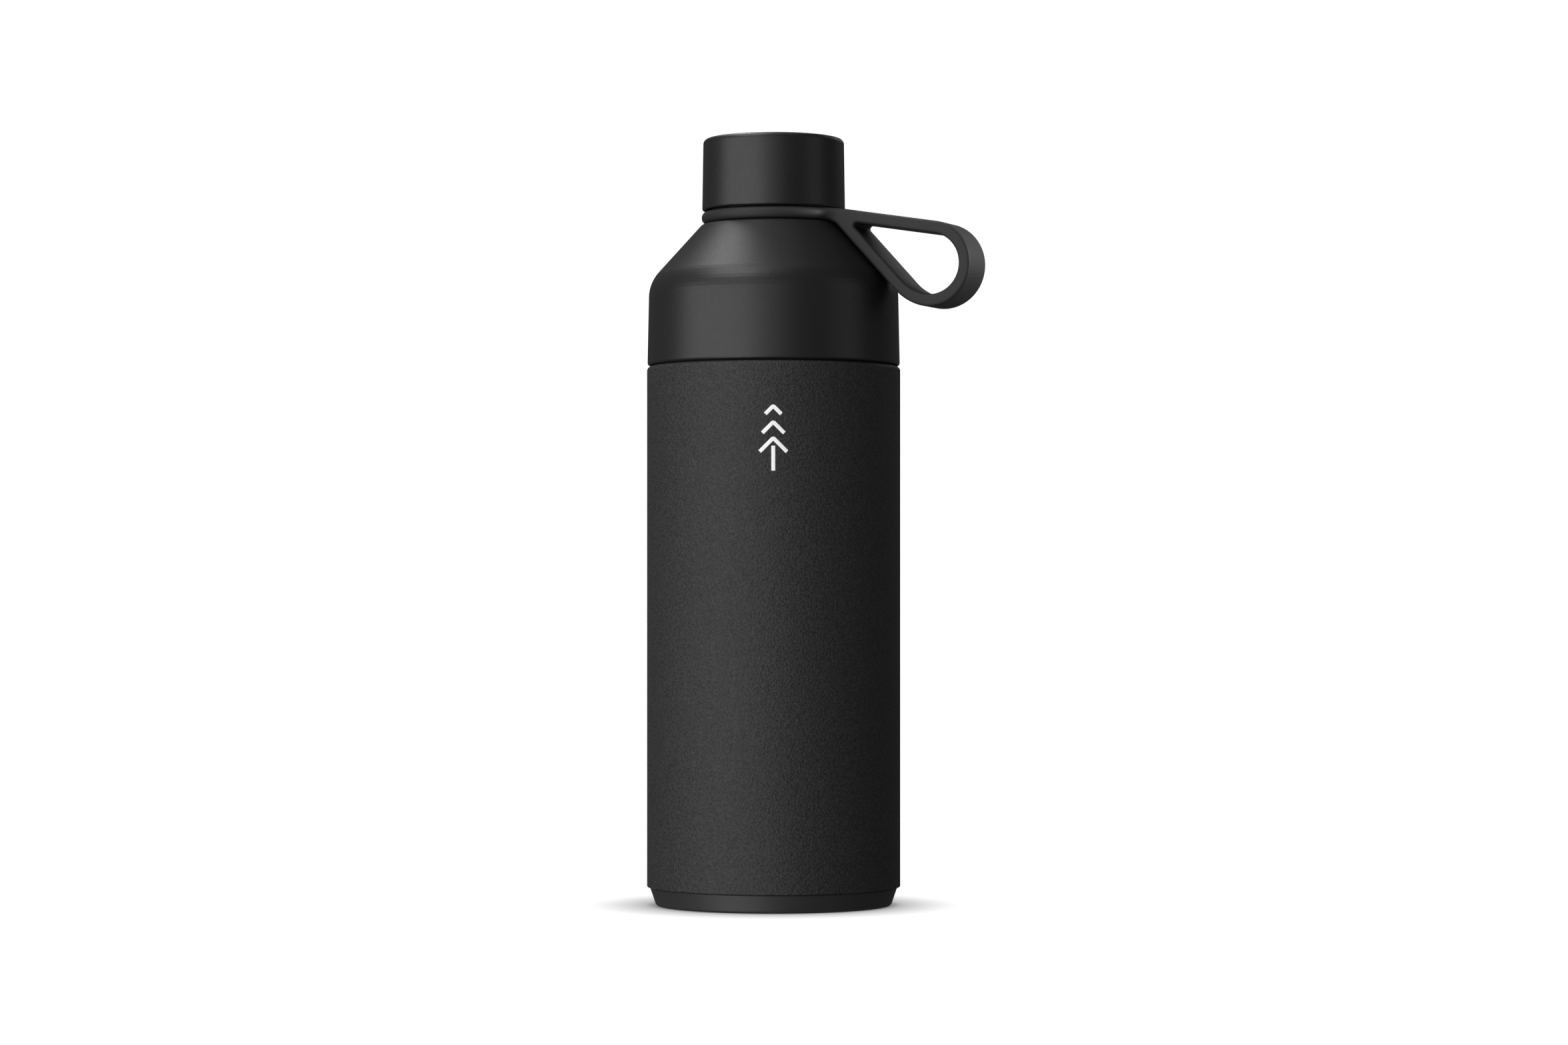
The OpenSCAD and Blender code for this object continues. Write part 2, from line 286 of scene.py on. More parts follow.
def turned(outline: np.ndarray, segments: int = 256, relief: Relief | None = None) -> Shape:
    """Surface turned about the axis.

    At angle a, the profile's point (r, z) goes to (r cos a, r sin a, z).

    Args:
        outline: Radius and height of the profile's points. A profile that starts and
            ends on the axis closes in two poles; any other closes on itself.
        segments: Number of points round the axis.
        relief: Given angle, radius and height, how far the surface stands out radially.

    Returns:
        The closed surface.
    """
    poles = outline[0, 0] < TINY and outline[-1, 0] < TINY
    ring = outline[1:-1] if poles else outline
    angle = np.linspace(0, 2 * np.pi, segments, endpoint=False)[None, :]
    radius = np.repeat(ring[:, :1], segments, 1)
    height = np.repeat(ring[:, 1:], segments, 1)
    if relief is not None:
        radius = radius + relief(np.repeat(angle, len(ring), 0), radius, height)
    points = np.stack([radius * np.cos(angle), radius * np.sin(angle), height], -1).reshape(-1, 3)
    quads = grid_quads(len(ring), segments, not poles, True)
    if not poles:
        return Shape(points, quads).outward()
    n = len(points)
    around = np.arange(segments)
    after = (around + 1) % segments
    last = n - segments
    first_fan = np.stack([np.full(segments, n), after, around], 1)
    last_fan = np.stack([np.full(segments, n + 1), last + around, last + after], 1)
    ends = np.array([[0, 0, outline[0, 1]], [0, 0, outline[-1, 1]]])
    fans = np.concatenate([first_fan, last_fan])
    return Shape(np.concatenate([points, ends]), quads, fans).outward()


def lathe(corners: Sequence[Corner], closed: bool = True, segments: int = 256) -> Shape:
    """Surface turned from rounded corners.

    Args:
        corners: Each corner's radius, height and rounding.
        closed: Whether the last corner joins the first; if not, both are on the axis.
        segments: Number of points round the axis.

    Returns:
        The closed surface.
    """
    return turned(supported(rounded_outline(corners, closed), closed), segments)


def smooth_step(t: np.ndarray) -> np.ndarray:
    """Clamped ramp that leaves 0 and reaches 1 without a kink: t t (3 - 2 t)."""
    t = np.clip(t, 0, 1)
    return t * t * (3 - 2 * t)


@dataclass(frozen=True)
class Thread:
    """Right-handed thread of short ridges, one for each start.

    Attributes:
        wall: Radius of the wall that the ridges stand on.
        depth: Height of the ridges, negative where they stand inwards.
        start_z: Height at which each ridge begins.
        pitch: Axial distance between neighbouring ridges.
        starts: Number of ridges round the wall.
        sweep: Angle that one ridge runs round the wall, in degrees.
        foot: Width of a ridge where it meets the wall.
        tip: Width of a ridge at its crest.
        fade: Angle over which a ridge rises at its ends, in degrees.
        row: Height between two rows of points on the threaded wall.
        close: Distance from the wall's radius within which a point belongs to it.
    """

    wall: float
    depth: float
    start_z: float
    pitch: float = 4.0
    starts: int = 3
    sweep: float = 200.0
    foot: float = 2.0
    tip: float = 1.0
    fade: float = 20.0
    row: float = 0.2
    close: float = 0.05

    @property
    def span(self) -> tuple[float, float]:
        """Lowest and highest height that the ridges reach."""
        rise = self.pitch * self.starts * self.sweep / 360
        return self.start_z - self.foot, self.start_z + rise + self.foot

    def relief(self, angle: np.ndarray, radius: np.ndarray, height: np.ndarray) -> np.ndarray:
        """How far the threaded wall stands out.

        A ridge's middle climbs by the lead in one turn. Its section is a ramp from the
        foot's edge to the tip's, and it fades out at both ends.

        Args:
            angle: Angle round the axis, in radians.
            radius: Distance from the axis.
            height: Height.

        Returns:
            The radial shift, zero away from the threaded wall.
        """
        total = np.zeros_like(height)
        for start in range(self.starts):
            run = (np.degrees(angle) - 360 * start / self.starts) % 360
            middle = self.start_z + self.pitch * self.starts * run / 360
            side = (self.foot / 2 - np.abs(height - middle)) / (self.foot / 2 - self.tip / 2)
            ends = np.minimum(run, self.sweep - run) / self.fade
            total = np.maximum(total, smooth_step(side) * smooth_step(ends))
        return np.where(np.abs(radius - self.wall) < self.close, total * self.depth, 0)

    def rows(self, points: np.ndarray) -> np.ndarray:
        """Profile with extra points along the threaded wall, to show the ridges.

        Args:
            points: Radius and height of the profile's points, the threaded wall being
                its one long stretch at that radius.

        Returns:
            The profile with the extra points among them.
        """
        low, high = self.span
        after = np.roll(points, -1, axis=0)
        off = np.maximum(np.abs(points[:, 0] - self.wall), np.abs(after[:, 0] - self.wall))
        i = int(np.argmax((off < self.close) * np.abs(points[:, 1] - after[:, 1])))
        heights = np.arange(low, high, self.row)
        if points[i, 1] > after[i, 1]:
            heights = heights[::-1]
        extra = np.stack([np.full(len(heights), self.wall), heights], 1)
        return np.concatenate([points[: i + 1], extra, points[i + 1:]])


def threaded(
    corners: Sequence[Corner], thread: Thread, closed: bool = True, segments: int = 288
) -> Shape:
    """Closed surface turned from rounded corners, with a thread on one of its walls.

    Args:
        corners: Each corner's radius, height and rounding.
        thread: The thread, whose wall is one of the profile's straight stretches.
        closed: Whether the last corner joins the first; if not, both are on the axis.
        segments: Number of points round the axis.

    Returns:
        The closed surface.
    """
    profile = thread.rows(rounded_outline(corners, closed))
    return turned(supported(profile, closed, longest=6.0), segments, thread.relief)


# ---------------------------------------------------------------- shapes from distances


def polygon_distance(points: np.ndarray, outline: np.ndarray) -> np.ndarray:
    """Distance from plane points to a closed outline, negative inside it.

    The distance is the least over the outline's sides, and a point is inside where a
    ray from it crosses an odd number of sides.

    Args:
        points: One row a point.
        outline: The outline's corners in order.

    Returns:
        One distance for each point.
    """
    a, b = outline, np.roll(outline, -1, axis=0)
    side = b - a
    x, y = points[:, None, 0], points[:, None, 1]
    along = ((x - a[:, 0]) * side[:, 0] + (y - a[:, 1]) * side[:, 1]) / (side**2).sum(1)
    along = np.clip(along, 0, 1)
    gap = np.hypot(x - a[:, 0] - along * side[:, 0], y - a[:, 1] - along * side[:, 1]).min(1)
    spans = (a[:, 1] > y) != (b[:, 1] > y)
    rise = np.where(side[:, 1] == 0, TINY, side[:, 1])
    crossing = x < a[:, 0] + (y - a[:, 1]) * side[:, 0] / rise
    inside = (spans & crossing).sum(1) % 2 == 1
    return np.where(inside, -gap, gap)


def rounded_both(a: np.ndarray, b: np.ndarray, r: np.ndarray | float) -> np.ndarray:
    """Distance to where two solids overlap, with their common edge rounded to radius r."""
    a, b = a + r, b + r
    return np.minimum(np.maximum(a, b), 0) + np.hypot(np.maximum(a, 0), np.maximum(b, 0)) - r


def net(values: np.ndarray, low: np.ndarray, step: float) -> Shape:
    """Closed surface where a field on a regular grid of points changes sign.

    Each cell that the surface passes through gets one point, the mean of where its
    edges cross zero, and each grid edge that crosses zero gets a quad between the four
    cells round it.

    Args:
        values: The field at the grid's points.
        low: The grid's first point.
        step: The grid's spacing.

    Returns:
        The surface.
    """
    inside = values < 0
    cells = tuple(n - 1 for n in values.shape)
    total = np.zeros((*cells, 3))
    count = np.zeros(cells)
    window = [(slice(0, n), slice(1, n + 1)) for n in cells]
    for axis in range(3):
        others = [k for k in range(3) if k != axis]
        for s in (0, 1):
            for t in (0, 1):
                pick = [None, None, None]
                pick[axis], pick[others[0]], pick[others[1]] = 0, s, t
                first = tuple(window[k][pick[k]] for k in range(3))
                pick[axis] = 1
                second = tuple(window[k][pick[k]] for k in range(3))
                cross = inside[first] != inside[second]
                gap = values[first] - values[second]
                share = np.where(cross, values[first] / np.where(cross, gap, 1), 0)
                total[..., axis] += share
                total[..., others[0]] += cross * s
                total[..., others[1]] += cross * t
                count += cross
    used = count > 0
    number = np.full(cells, -1)
    number[used] = np.arange(used.sum())
    base = np.argwhere(used)
    points = low + step * (base + total[used] / count[used][:, None])
    quads = []
    for axis in range(3):
        u, v = [k for k in range(3) if k != axis]
        edge = [slice(None)] * 3
        edge[axis] = slice(0, -1)
        nxt = [slice(None)] * 3
        nxt[axis] = slice(1, None)
        cross = np.argwhere(inside[tuple(edge)] != inside[tuple(nxt)])
        forward = inside[tuple(edge)][tuple(cross.T)]
        around = []
        for du, dv in ((1, 1), (0, 1), (0, 0), (1, 0)):
            cell = cross.copy()
            cell[:, u] -= du
            cell[:, v] -= dv
            around.append(number[tuple(cell.T)])
        quad = np.stack(around, 1)
        flip = forward if axis == 1 else ~forward
        quad[flip] = quad[flip][:, ::-1]
        quads.append(quad)
    return Shape(points, np.concatenate(quads)).outward()


def settled(shape: Shape, distance: Callable[[np.ndarray], np.ndarray], rounds: int) -> Shape:
    """Evens out a surface's points and draws them onto where a distance field is zero.

    Each round moves a point to the mean of its neighbours and then along the field's
    gradient g by -f g / (g . g).

    Args:
        shape: The surface to settle.
        distance: The field, given points one a row.
        rounds: Number of rounds.

    Returns:
        The same surface, settled.
    """
    q = shape.quads
    edges = np.concatenate([q[:, [0, 1]], q[:, [1, 2]], q[:, [2, 3]], q[:, [3, 0]]])
    n = len(shape.points)
    degree = np.bincount(edges[:, 0], minlength=n) + np.bincount(edges[:, 1], minlength=n)
    points = shape.points
    nudge, evening, least_slope = 0.02, 0.6, 0.2
    steps = nudge * np.array([[1, -1, -1], [-1, -1, 1], [-1, 1, -1], [1, 1, 1]], float)
    for k in range(rounds):
        if k:
            sums = [
                np.bincount(edges[:, near], points[edges[:, 1 - near], c], n)
                for c in range(3) for near in (0, 1)
            ]
            mean = np.stack([sums[2 * c] + sums[2 * c + 1] for c in range(3)], 1) / degree[:, None]
            points = points + evening * (mean - points)
        for _ in range(2):
            samples = [distance(points + s) for s in steps]
            slope = sum(f[:, None] * s for f, s in zip(samples, steps)) / (4 * nudge**2)
            here = sum(samples) / 4
            points = points - (here / np.maximum((slope**2).sum(1), least_slope))[:, None] * slope
    shape.points = points
    return shape


# ---------------------------------------------------------------- shader maths


class Wire:
    """A shader value that takes part in Python sums, each of which adds a Math node."""

    def __init__(self, tree: "Tree", socket: bpy.types.NodeSocket) -> None:
        """Wraps a socket of a tree."""
        self.tree = tree
        self.socket = socket

    def __add__(self, other: "Wire | float") -> "Wire":
        """Sum."""
        return self.tree.math("ADD", self, other)

    __radd__ = __add__

    def __mul__(self, other: "Wire | float") -> "Wire":
        """Product."""
        return self.tree.math("MULTIPLY", self, other)

    __rmul__ = __mul__

    def __sub__(self, other: "Wire | float") -> "Wire":
        """Difference."""
        return self.tree.math("SUBTRACT", self, other)

    def __rsub__(self, other: "Wire | float") -> "Wire":
        """Difference, the other way round."""
        return self.tree.math("SUBTRACT", other, self)

    def __pow__(self, other: "Wire | float") -> "Wire":
        """Power."""
        return self.tree.math("POWER", self, other)

    def clamped(self) -> "Wire":
        """The value, held between 0 and 1."""
        return self.tree.math("ADD", self, 0.0, use_clamp=True)


class Tree:
    """Node tree to which nodes are added."""

    def __init__(self, tree: bpy.types.NodeTree) -> None:
        """Wraps a node tree."""
        self.tree = tree

    def node(
        self, kind: str, settings: dict | None = None, inputs: dict | None = None
    ) -> bpy.types.Node:
        """Adds a node.

        Args:
            kind: The node's type.
            settings: Its properties, set first.
            inputs: Values or wires for its sockets, by name or number.

        Returns:
            The node.
        """
        made = self.tree.nodes.new(kind)
        for key, value in (settings or {}).items():
            setattr(made, key, value)
        for key, value in (inputs or {}).items():
            self.feed(made.inputs[key], value)
        return made

    def feed(self, socket: bpy.types.NodeSocket, value: Wire | float | Sequence[float]) -> None:
        """Links a wire to a socket, or sets the socket's own value.

        Args:
            socket: The socket.
            value: The wire or the value.
        """
        if isinstance(value, Wire):
            self.tree.links.new(value.socket, socket)
        else:
            socket.default_value = value

    def math(
        self, operation: str, a: Wire | float, b: Wire | float, use_clamp: bool = False
    ) -> Wire:
        """Adds a Math node and returns its result."""
        settings = {"operation": operation, "use_clamp": use_clamp}
        return Wire(self, self.node("ShaderNodeMath", settings, {0: a, 1: b}).outputs[0])


class Recipe(Tree):
    """Node tree of one material, with its Principled shader."""

    def __init__(self, name: str) -> None:
        """Starts a material with an empty Principled shader.

        Args:
            name: The material's name.
        """
        self.material = bpy.data.materials.new(name)
        self.material.use_nodes = True
        super().__init__(self.material.node_tree)
        self.shader = next(n for n in self.tree.nodes if n.type == "BSDF_PRINCIPLED")

    def place(self, stretch: Sequence[float] = (1, 1, 1)) -> Wire:
        """Object coordinates, stretched.

        Args:
            stretch: Factor along each axis.

        Returns:
            The coordinates.
        """
        at = Wire(self, self.node("ShaderNodeTexCoord").outputs["Object"])
        mapping = self.node("ShaderNodeMapping", inputs={"Vector": at, "Scale": stretch})
        return Wire(self, mapping.outputs["Vector"])

    def noise(
        self, size: float, detail: float = 2.0, rough: float = 0.5,
        stretch: Sequence[float] = (1, 1, 1),
    ) -> Wire:
        """Noise from 0 to 1.

        Args:
            size: Size of its features in millimetres.
            detail: Number of finer layers.
            rough: Weight of the finer layers.
            stretch: Factor along each axis; less than 1 draws the features out.

        Returns:
            The noise's value.
        """
        made = self.node("ShaderNodeTexNoise", inputs={
            "Vector": self.place(stretch), "Scale": 1 / (size * MM),
            "Detail": detail, "Roughness": rough,
        })
        return Wire(self, made.outputs["Fac"])

    def grains(self, size: float) -> Wire:
        """Distance from the middle of the nearest of many cells, size millimetres apart.

        Args:
            size: Distance between cells in millimetres.

        Returns:
            The distance.
        """
        scale = 1 / (size * MM)
        made = self.node("ShaderNodeTexVoronoi", inputs={"Vector": self.place(), "Scale": scale})
        return Wire(self, made.outputs["Distance"])

    def blend(self, share: Wire, low: Sequence[float], high: Sequence[float]) -> Wire:
        """Colour from low to high as share goes from 0 to 1."""
        made = self.node("ShaderNodeMix", {"data_type": "RGBA"}, {
            0: share, 6: (*low, 1.0), 7: (*high, 1.0),
        })
        return Wire(self, made.outputs[2])

    def bump(self, height: Wire, depth: float) -> Wire:
        """Normal of a surface whose height varies by depth millimetres.

        Args:
            height: The height, from 0 to 1.
            depth: What a height of 1 stands for, in millimetres.

        Returns:
            The normal.
        """
        inputs = {"Height": height, "Distance": depth * MM, "Strength": 1.0}
        made = self.node("ShaderNodeBump", inputs=inputs)
        return Wire(self, made.outputs["Normal"])

    def set(self, **values: Wire | float | Sequence[float]) -> None:
        """Feeds the shader's sockets, named with underscores for spaces."""
        for key, value in values.items():
            self.feed(self.shader.inputs[key.replace("_", " ")], value)


def grey(value: float, warmth: float = 0.0) -> tuple[float, float, float]:
    """Grey colour; a positive warmth adds red and takes blue away."""
    return (value * (1 + warmth), value, value * (1 - warmth))


@dataclass(frozen=True)
class PowderCoat:
    """Black powder coat with a leather-like orange peel.

    Attributes:
        tone: Grey of the coat.
        peel: Size of the orange peel's humps, in millimetres.
        depth: Depth of the orange peel, in millimetres.
        gloss: Roughness between the humps.
        shares: Shares of humps, creases and fine grain in the height.
        contrast: How sharply painted shade in the hollows turns into painted light on the crests.
        swing: Painted shade of hollows and painted light of crests, as factors of the coat's tone.
    """

    tone: float = 0.023
    peel: float = 0.58
    depth: float = 0.35
    gloss: float = 0.6
    shares: tuple[float, float, float] = (0.7, 0.3, 0.12)
    contrast: float = 4.0
    swing: tuple[float, float] = (0.3, 1.7)

    def material(self) -> bpy.types.Material:
        """Humps from layered noise, duller on their crests, with finer creases and painted light
        and shade.

        Returns:
            The material.
        """
        r = Recipe("powder_coat_black")
        humps = r.noise(self.peel, 3.0, 0.55)
        cells = r.grains(self.peel * 1.5)
        fine = r.noise(self.peel / 3, 2.0, 0.5)
        height = humps * self.shares[0] + cells * self.shares[1] + fine * self.shares[2]
        cloud = r.noise(14.0, 2.0)
        # painted light and shade: the tone follows the humps' height, paler on crests and darker
        # in hollows
        peel_painted_shading = ((humps - 0.5) * self.contrast + 0.5).clamped()
        hollow, crest = (grey(self.tone * share) for share in self.swing)
        r.set(
            Base_Color=r.blend(peel_painted_shading, hollow, crest),
            Roughness=self.gloss + 0.08 * (cloud - 0.5) + 0.12 * (humps - 0.5),
            Normal=r.bump(height, self.depth),
            Specular_IOR_Level=0.5,
        )
        return r.material


@dataclass(frozen=True)
class SatinPlastic:
    """Moulded plastic from a finely eroded tool.

    Attributes:
        name: The material's name.
        tone: Grey of the plastic.
        gloss: Its roughness.
        grain: Size of the eroded grain, in millimetres.
        depth: Depth of the grain, in millimetres.
        sheen: How much the roughness changes over the grain.
    """

    name: str
    tone: float = 0.014
    gloss: float = 0.4
    grain: float = 0.22
    depth: float = 0.006
    sheen: float = 0.25

    def material(self) -> bpy.types.Material:
        """Fine even grain, with a slow drift in gloss from handling.

        Returns:
            The material.
        """
        r = Recipe(self.name)
        grain = r.noise(self.grain, 2.0, 0.6)
        drift = r.noise(22.0, 3.0, 0.5)
        r.set(
            Base_Color=r.blend(grain, grey(self.tone * 0.85), grey(self.tone * 1.15)),
            Roughness=self.gloss + 0.06 * (drift - 0.5) + self.sheen * (grain - 0.5),
            Normal=r.bump(grain, self.depth),
            Specular_IOR_Level=0.5,
        )
        return r.material


@dataclass(frozen=True)
class MouldedRubber:
    """Matte elastomer, moulded in one piece.

    Attributes:
        name: The material's name.
        tone: Grey of the rubber.
        gloss: Its roughness.
        warmth: How much warmer than grey it is.
    """

    name: str
    tone: float = 0.03
    gloss: float = 0.62
    warmth: float = 0.0

    def material(self) -> bpy.types.Material:
        """Faint bloom in patches over a very fine matte grain.

        Returns:
            The material.
        """
        r = Recipe(self.name)
        bloom = r.noise(9.0, 4.0, 0.6)
        grain = r.noise(0.3, 2.0, 0.6)
        plain, bloomed = (grey(self.tone * share, self.warmth) for share in (0.9, 1.12))
        r.set(
            Base_Color=r.blend(bloom, plain, bloomed),
            Roughness=self.gloss + 0.08 * (bloom - 0.5) + 0.04 * (grain - 0.5),
            Normal=r.bump(grain, 0.002),
            Specular_IOR_Level=0.45,
        )
        return r.material


@dataclass(frozen=True)
class BareMetal:
    """Uncoated metal with a fine finish drawn round the axis.

    Attributes:
        name: The material's name.
        colour: Base colour.
        gloss: Its roughness.
        scratch: Depth of the drawn scratches, in millimetres.
        metallic: Share of metal in the shader.
    """

    name: str
    colour: tuple[float, float, float]
    gloss: float = 0.3
    scratch: float = 0.004
    metallic: float = 1.0

    def material(self) -> bpy.types.Material:
        """Scratches are noise drawn out sideways, so that they run round the wall.

        Returns:
            The material.
        """
        r = Recipe(self.name)
        drawn = r.noise(0.35, 3.0, 0.6, stretch=(0.05, 0.05, 1.0))
        cloud = r.noise(12.0, 3.0, 0.55)
        low = tuple(c * 0.9 for c in self.colour)
        r.set(
            Base_Color=r.blend(cloud, low, self.colour),
            Metallic=self.metallic,
            Roughness=self.gloss + 0.12 * (drawn - 0.5) + 0.06 * (cloud - 0.5),
            Normal=r.bump(drawn, self.scratch),
        )
        return r.material


@dataclass(frozen=True)
class Foam:
    """Closed-cell insulation foam."""

    name: str = "cell_foam"

    def material(self) -> bpy.types.Material:
        """Small cells with painted shade darkening their hollows.

        Returns:
            The material.
        """
        r = Recipe(self.name)
        cells = r.grains(0.9)
        r.set(
            # painted shade: colour darkest at each cell's middle, where the bump sinks into a
            # hollow
            Base_Color=r.blend(cells.clamped(), (0.5, 0.46, 0.36), (0.78, 0.74, 0.62)),
            Roughness=0.85 + 0.1 * (cells - 0.5),
            Normal=r.bump(cells, 0.15),
        )
        return r.material


@dataclass(frozen=True)
class SealingGlass:
    """Glassy drop that closes the pumping hole."""

    name: str = "sealing_glass"

    def material(self) -> bpy.types.Material:
        """Dark clear glass with a few faint ripples.

        Returns:
            The material.
        """
        r = Recipe(self.name)
        ripples = r.noise(2.0, 1.0)
        r.set(
            Base_Color=r.blend(ripples, (0.2, 0.28, 0.32), (0.32, 0.42, 0.46)),
            Roughness=0.08 + 0.06 * ripples,
            Normal=r.bump(ripples, 0.02),
            Transmission_Weight=0.6,
        )
        return r.material


class Finish(Enum):
    """The bottle's finishes; each value makes its material."""

    POWDER_COAT = PowderCoat()
    SHELL = SatinPlastic("satin_plastic_shell", grain=0.34, depth=0.04)
    BASE = SatinPlastic("satin_plastic_base", tone=0.03, gloss=0.5)
    LINER = SatinPlastic("moulded_plastic_liner", tone=0.02, gloss=0.42, grain=0.4)
    STRAP = MouldedRubber("strap_rubber", tone=0.018, gloss=0.62)
    GASKET = MouldedRubber("gasket_silicone", tone=0.035, gloss=0.5)
    SEAL = MouldedRubber("seal_silicone", tone=0.5, gloss=0.45, warmth=0.01)
    STEEL = BareMetal("bare_steel", (0.62, 0.61, 0.6))
    ETCHED = BareMetal("etched_steel", (0.97, 0.97, 0.96), gloss=0.5, scratch=0.01, metallic=0.0)
    COPPER = BareMetal("copper_foil", (0.8, 0.42, 0.28), gloss=0.25)
    GETTER = BareMetal("getter_metal", (0.3, 0.3, 0.31), gloss=0.6)
    ADHESIVE = MouldedRubber("adhesive_ring", tone=0.6, gloss=0.7, warmth=0.06)
    FOAM = Foam()
    GLASS = SealingGlass()

    def made(self) -> bpy.types.Material:
        """The finish's material, made once."""
        if self.name not in MATERIALS:
            MATERIALS[self.name] = self.value.material()
        return MATERIALS[self.name]


MATERIALS: dict[str, bpy.types.Material] = {}


# ---------------------------------------------------------------- pieces


@dataclass(frozen=True)
class NodeBox:
    """A CAD node's box, in millimetres."""

    low: tuple[float, float, float]
    high: tuple[float, float, float]

    @classmethod
    def of(cls, node: str) -> "NodeBox":
        """Reads a node's box from the frame."""
        low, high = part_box(node)
        return cls(tuple(v / MM for v in low), tuple(v / MM for v in high))

    @property
    def radius(self) -> float:
        """Largest distance from the axis of a turned node."""
        return max(self.high[0], self.high[1])

    @property
    def bottom(self) -> float:
        """Lowest height."""
        return self.low[2]

    @property
    def top(self) -> float:
        """Highest height."""
        return self.high[2]


def soft_ring(node: str, hole: float, rounding: float = 0.5) -> Shape:
    """Flat ring with soft edges that fills a turned node's box.

    Args:
        node: The CAD node.
        hole: Radius of the ring's hole.
        rounding: Rounding of its edges.

    Returns:
        The ring's surface.
    """
    box = NodeBox.of(node)
    r, low, high = box.radius, box.bottom, box.top
    return lathe([(x, z, rounding) for x, z in ((hole, low), (r, low), (r, high), (hole, high))])


@dataclass
class SubAssembly:
    """Pieces that belong together.

    Attributes:
        frame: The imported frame.
    """

    frame: dict

    def piece(
        self, shape: Shape, name: str, node: str, slot: str, finish: Finish, replaces: bool = True
    ) -> None:
        """Puts a shape into the scene as a finished piece.

        Args:
            shape: The piece's surface.
            name: The piece's name.
            node: CAD node whose body it rides on.
            slot: The record's material slot; not used.
            finish: Its finish.
            replaces: Whether it stands for the node.
        """
        made = shape.mesh_object(name)
        made.data.materials.append(finish.made())
        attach(made, self.frame["nodes"][node]["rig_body"])
        if replaces:
            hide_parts(node)
        LOG.info("%s: %d faces, %s", name, len(made.data.polygons), finish.name.lower())

    def dress(self, node: str, finish: Finish) -> None:
        """Gives a CAD node that keeps its own mesh its finish.

        Args:
            node: The CAD node.
            finish: Its finish.
        """
        mesh = self.frame["nodes"][node].data
        mesh.materials.clear()
        mesh.materials.append(finish.made())
        LOG.info("%s: CAD mesh, %s", node, finish.name.lower())


@dataclass
class EtchedMark:
    """Plain fir tree, laser-etched through the coat: chevrons over a trunk.

    Attributes:
        azimuth: Direction that the mark faces, in degrees from -Y towards +X.
        middle_z: Height of its middle.
        stroke: Width of its lines.
        half_widths: Half the width of each chevron, from the top down.
        spacing: Distance from one chevron's tip to the next.
        slope: Drop of a chevron's arm for each unit of its width.
        proud: How far the etched steel stands out of the body's radius.
        half_height: Half the height of the mark.
        gap: How far the trunk's top is below the last chevron's tip.
        bend: Rounding of a stroke's bends.
        soft: Width of a stroke's softened edge.
        sunk: How far a stroke reaches into the wall.
    """

    azimuth: float = 23.5
    middle_z: float = 160.4
    stroke: float = 1.3
    half_widths: tuple[float, ...] = (2.7, 3.7, 4.6)
    spacing: float = 5.4
    slope: float = 1.0
    proud: float = 0.03
    half_height: float = 10.9
    gap: float = 2.6
    bend: float = 0.5
    soft: float = 0.04
    sunk: float = 0.15

    def strokes(self) -> list[np.ndarray]:
        """Middle lines of the strokes, as points across and up from the mark's middle.

        Returns:
            The lines, one array of points each.
        """
        lines = []
        tip = self.half_height
        for half in self.half_widths:
            end = tip - half * self.slope
            lines.append(np.array([[-half, end], [0, tip], [half, end]]))
            tip -= self.spacing
        lines.append(np.array([[0, tip + self.spacing - self.gap], [0, -self.half_height]]))
        return lines

    def ribbon(self, line: np.ndarray, radius: float) -> Shape:
        """A thin solid stroke that follows a line and wraps the body.

        Across the line the section is a low plate with softened edges. A point at
        distance s across and height h goes to angle s / radius, so lengths are kept.

        Args:
            line: The stroke's middle line.
            radius: Radius of the body.

        Returns:
            The closed stroke.
        """
        bends = rounded_outline([(*p, self.bend) for p in line], False)
        fine = supported(bends, False, longest=0.4)
        run = np.gradient(fine, axis=0)
        run /= np.linalg.norm(run, axis=1, keepdims=True)
        across = np.stack([-run[:, 1], run[:, 0]], 1)
        half, lift = self.stroke / 2, self.proud
        right = [(half / 2, lift), (half - self.soft, lift), (half, lift / 2), (half, -self.sunk)]
        section = np.array([*((-x, h) for x, h in reversed(right)), (0, lift), *right])
        flat = fine[:, None, :] + across[:, None, :] * section[None, :, :1]
        out = np.broadcast_to(radius + section[None, :, 1], flat.shape[:2])
        angle = math.radians(self.azimuth - 90) + flat[..., 0] / radius
        height = self.middle_z + flat[..., 1]
        points = np.stack([out * np.cos(angle), out * np.sin(angle), height], -1)
        rows, columns = flat.shape[:2]
        quads = grid_quads(rows, columns, False, True)
        fan = np.arange(1, columns - 1)
        start = np.stack([np.zeros_like(fan), fan, fan + 1], 1)
        end = start[:, ::-1] + (rows - 1) * columns
        return Shape(points.reshape(-1, 3), quads, np.concatenate([start, end])).outward()

    def shape(self, radius: float) -> Shape:
        """All strokes as one shape on a body of that radius.

        Args:
            radius: Radius of the body.

        Returns:
            The mark.
        """
        first, *rest = [self.ribbon(line, radius) for line in self.strokes()]
        for other in rest:
            first = first.joined(other)
        return first


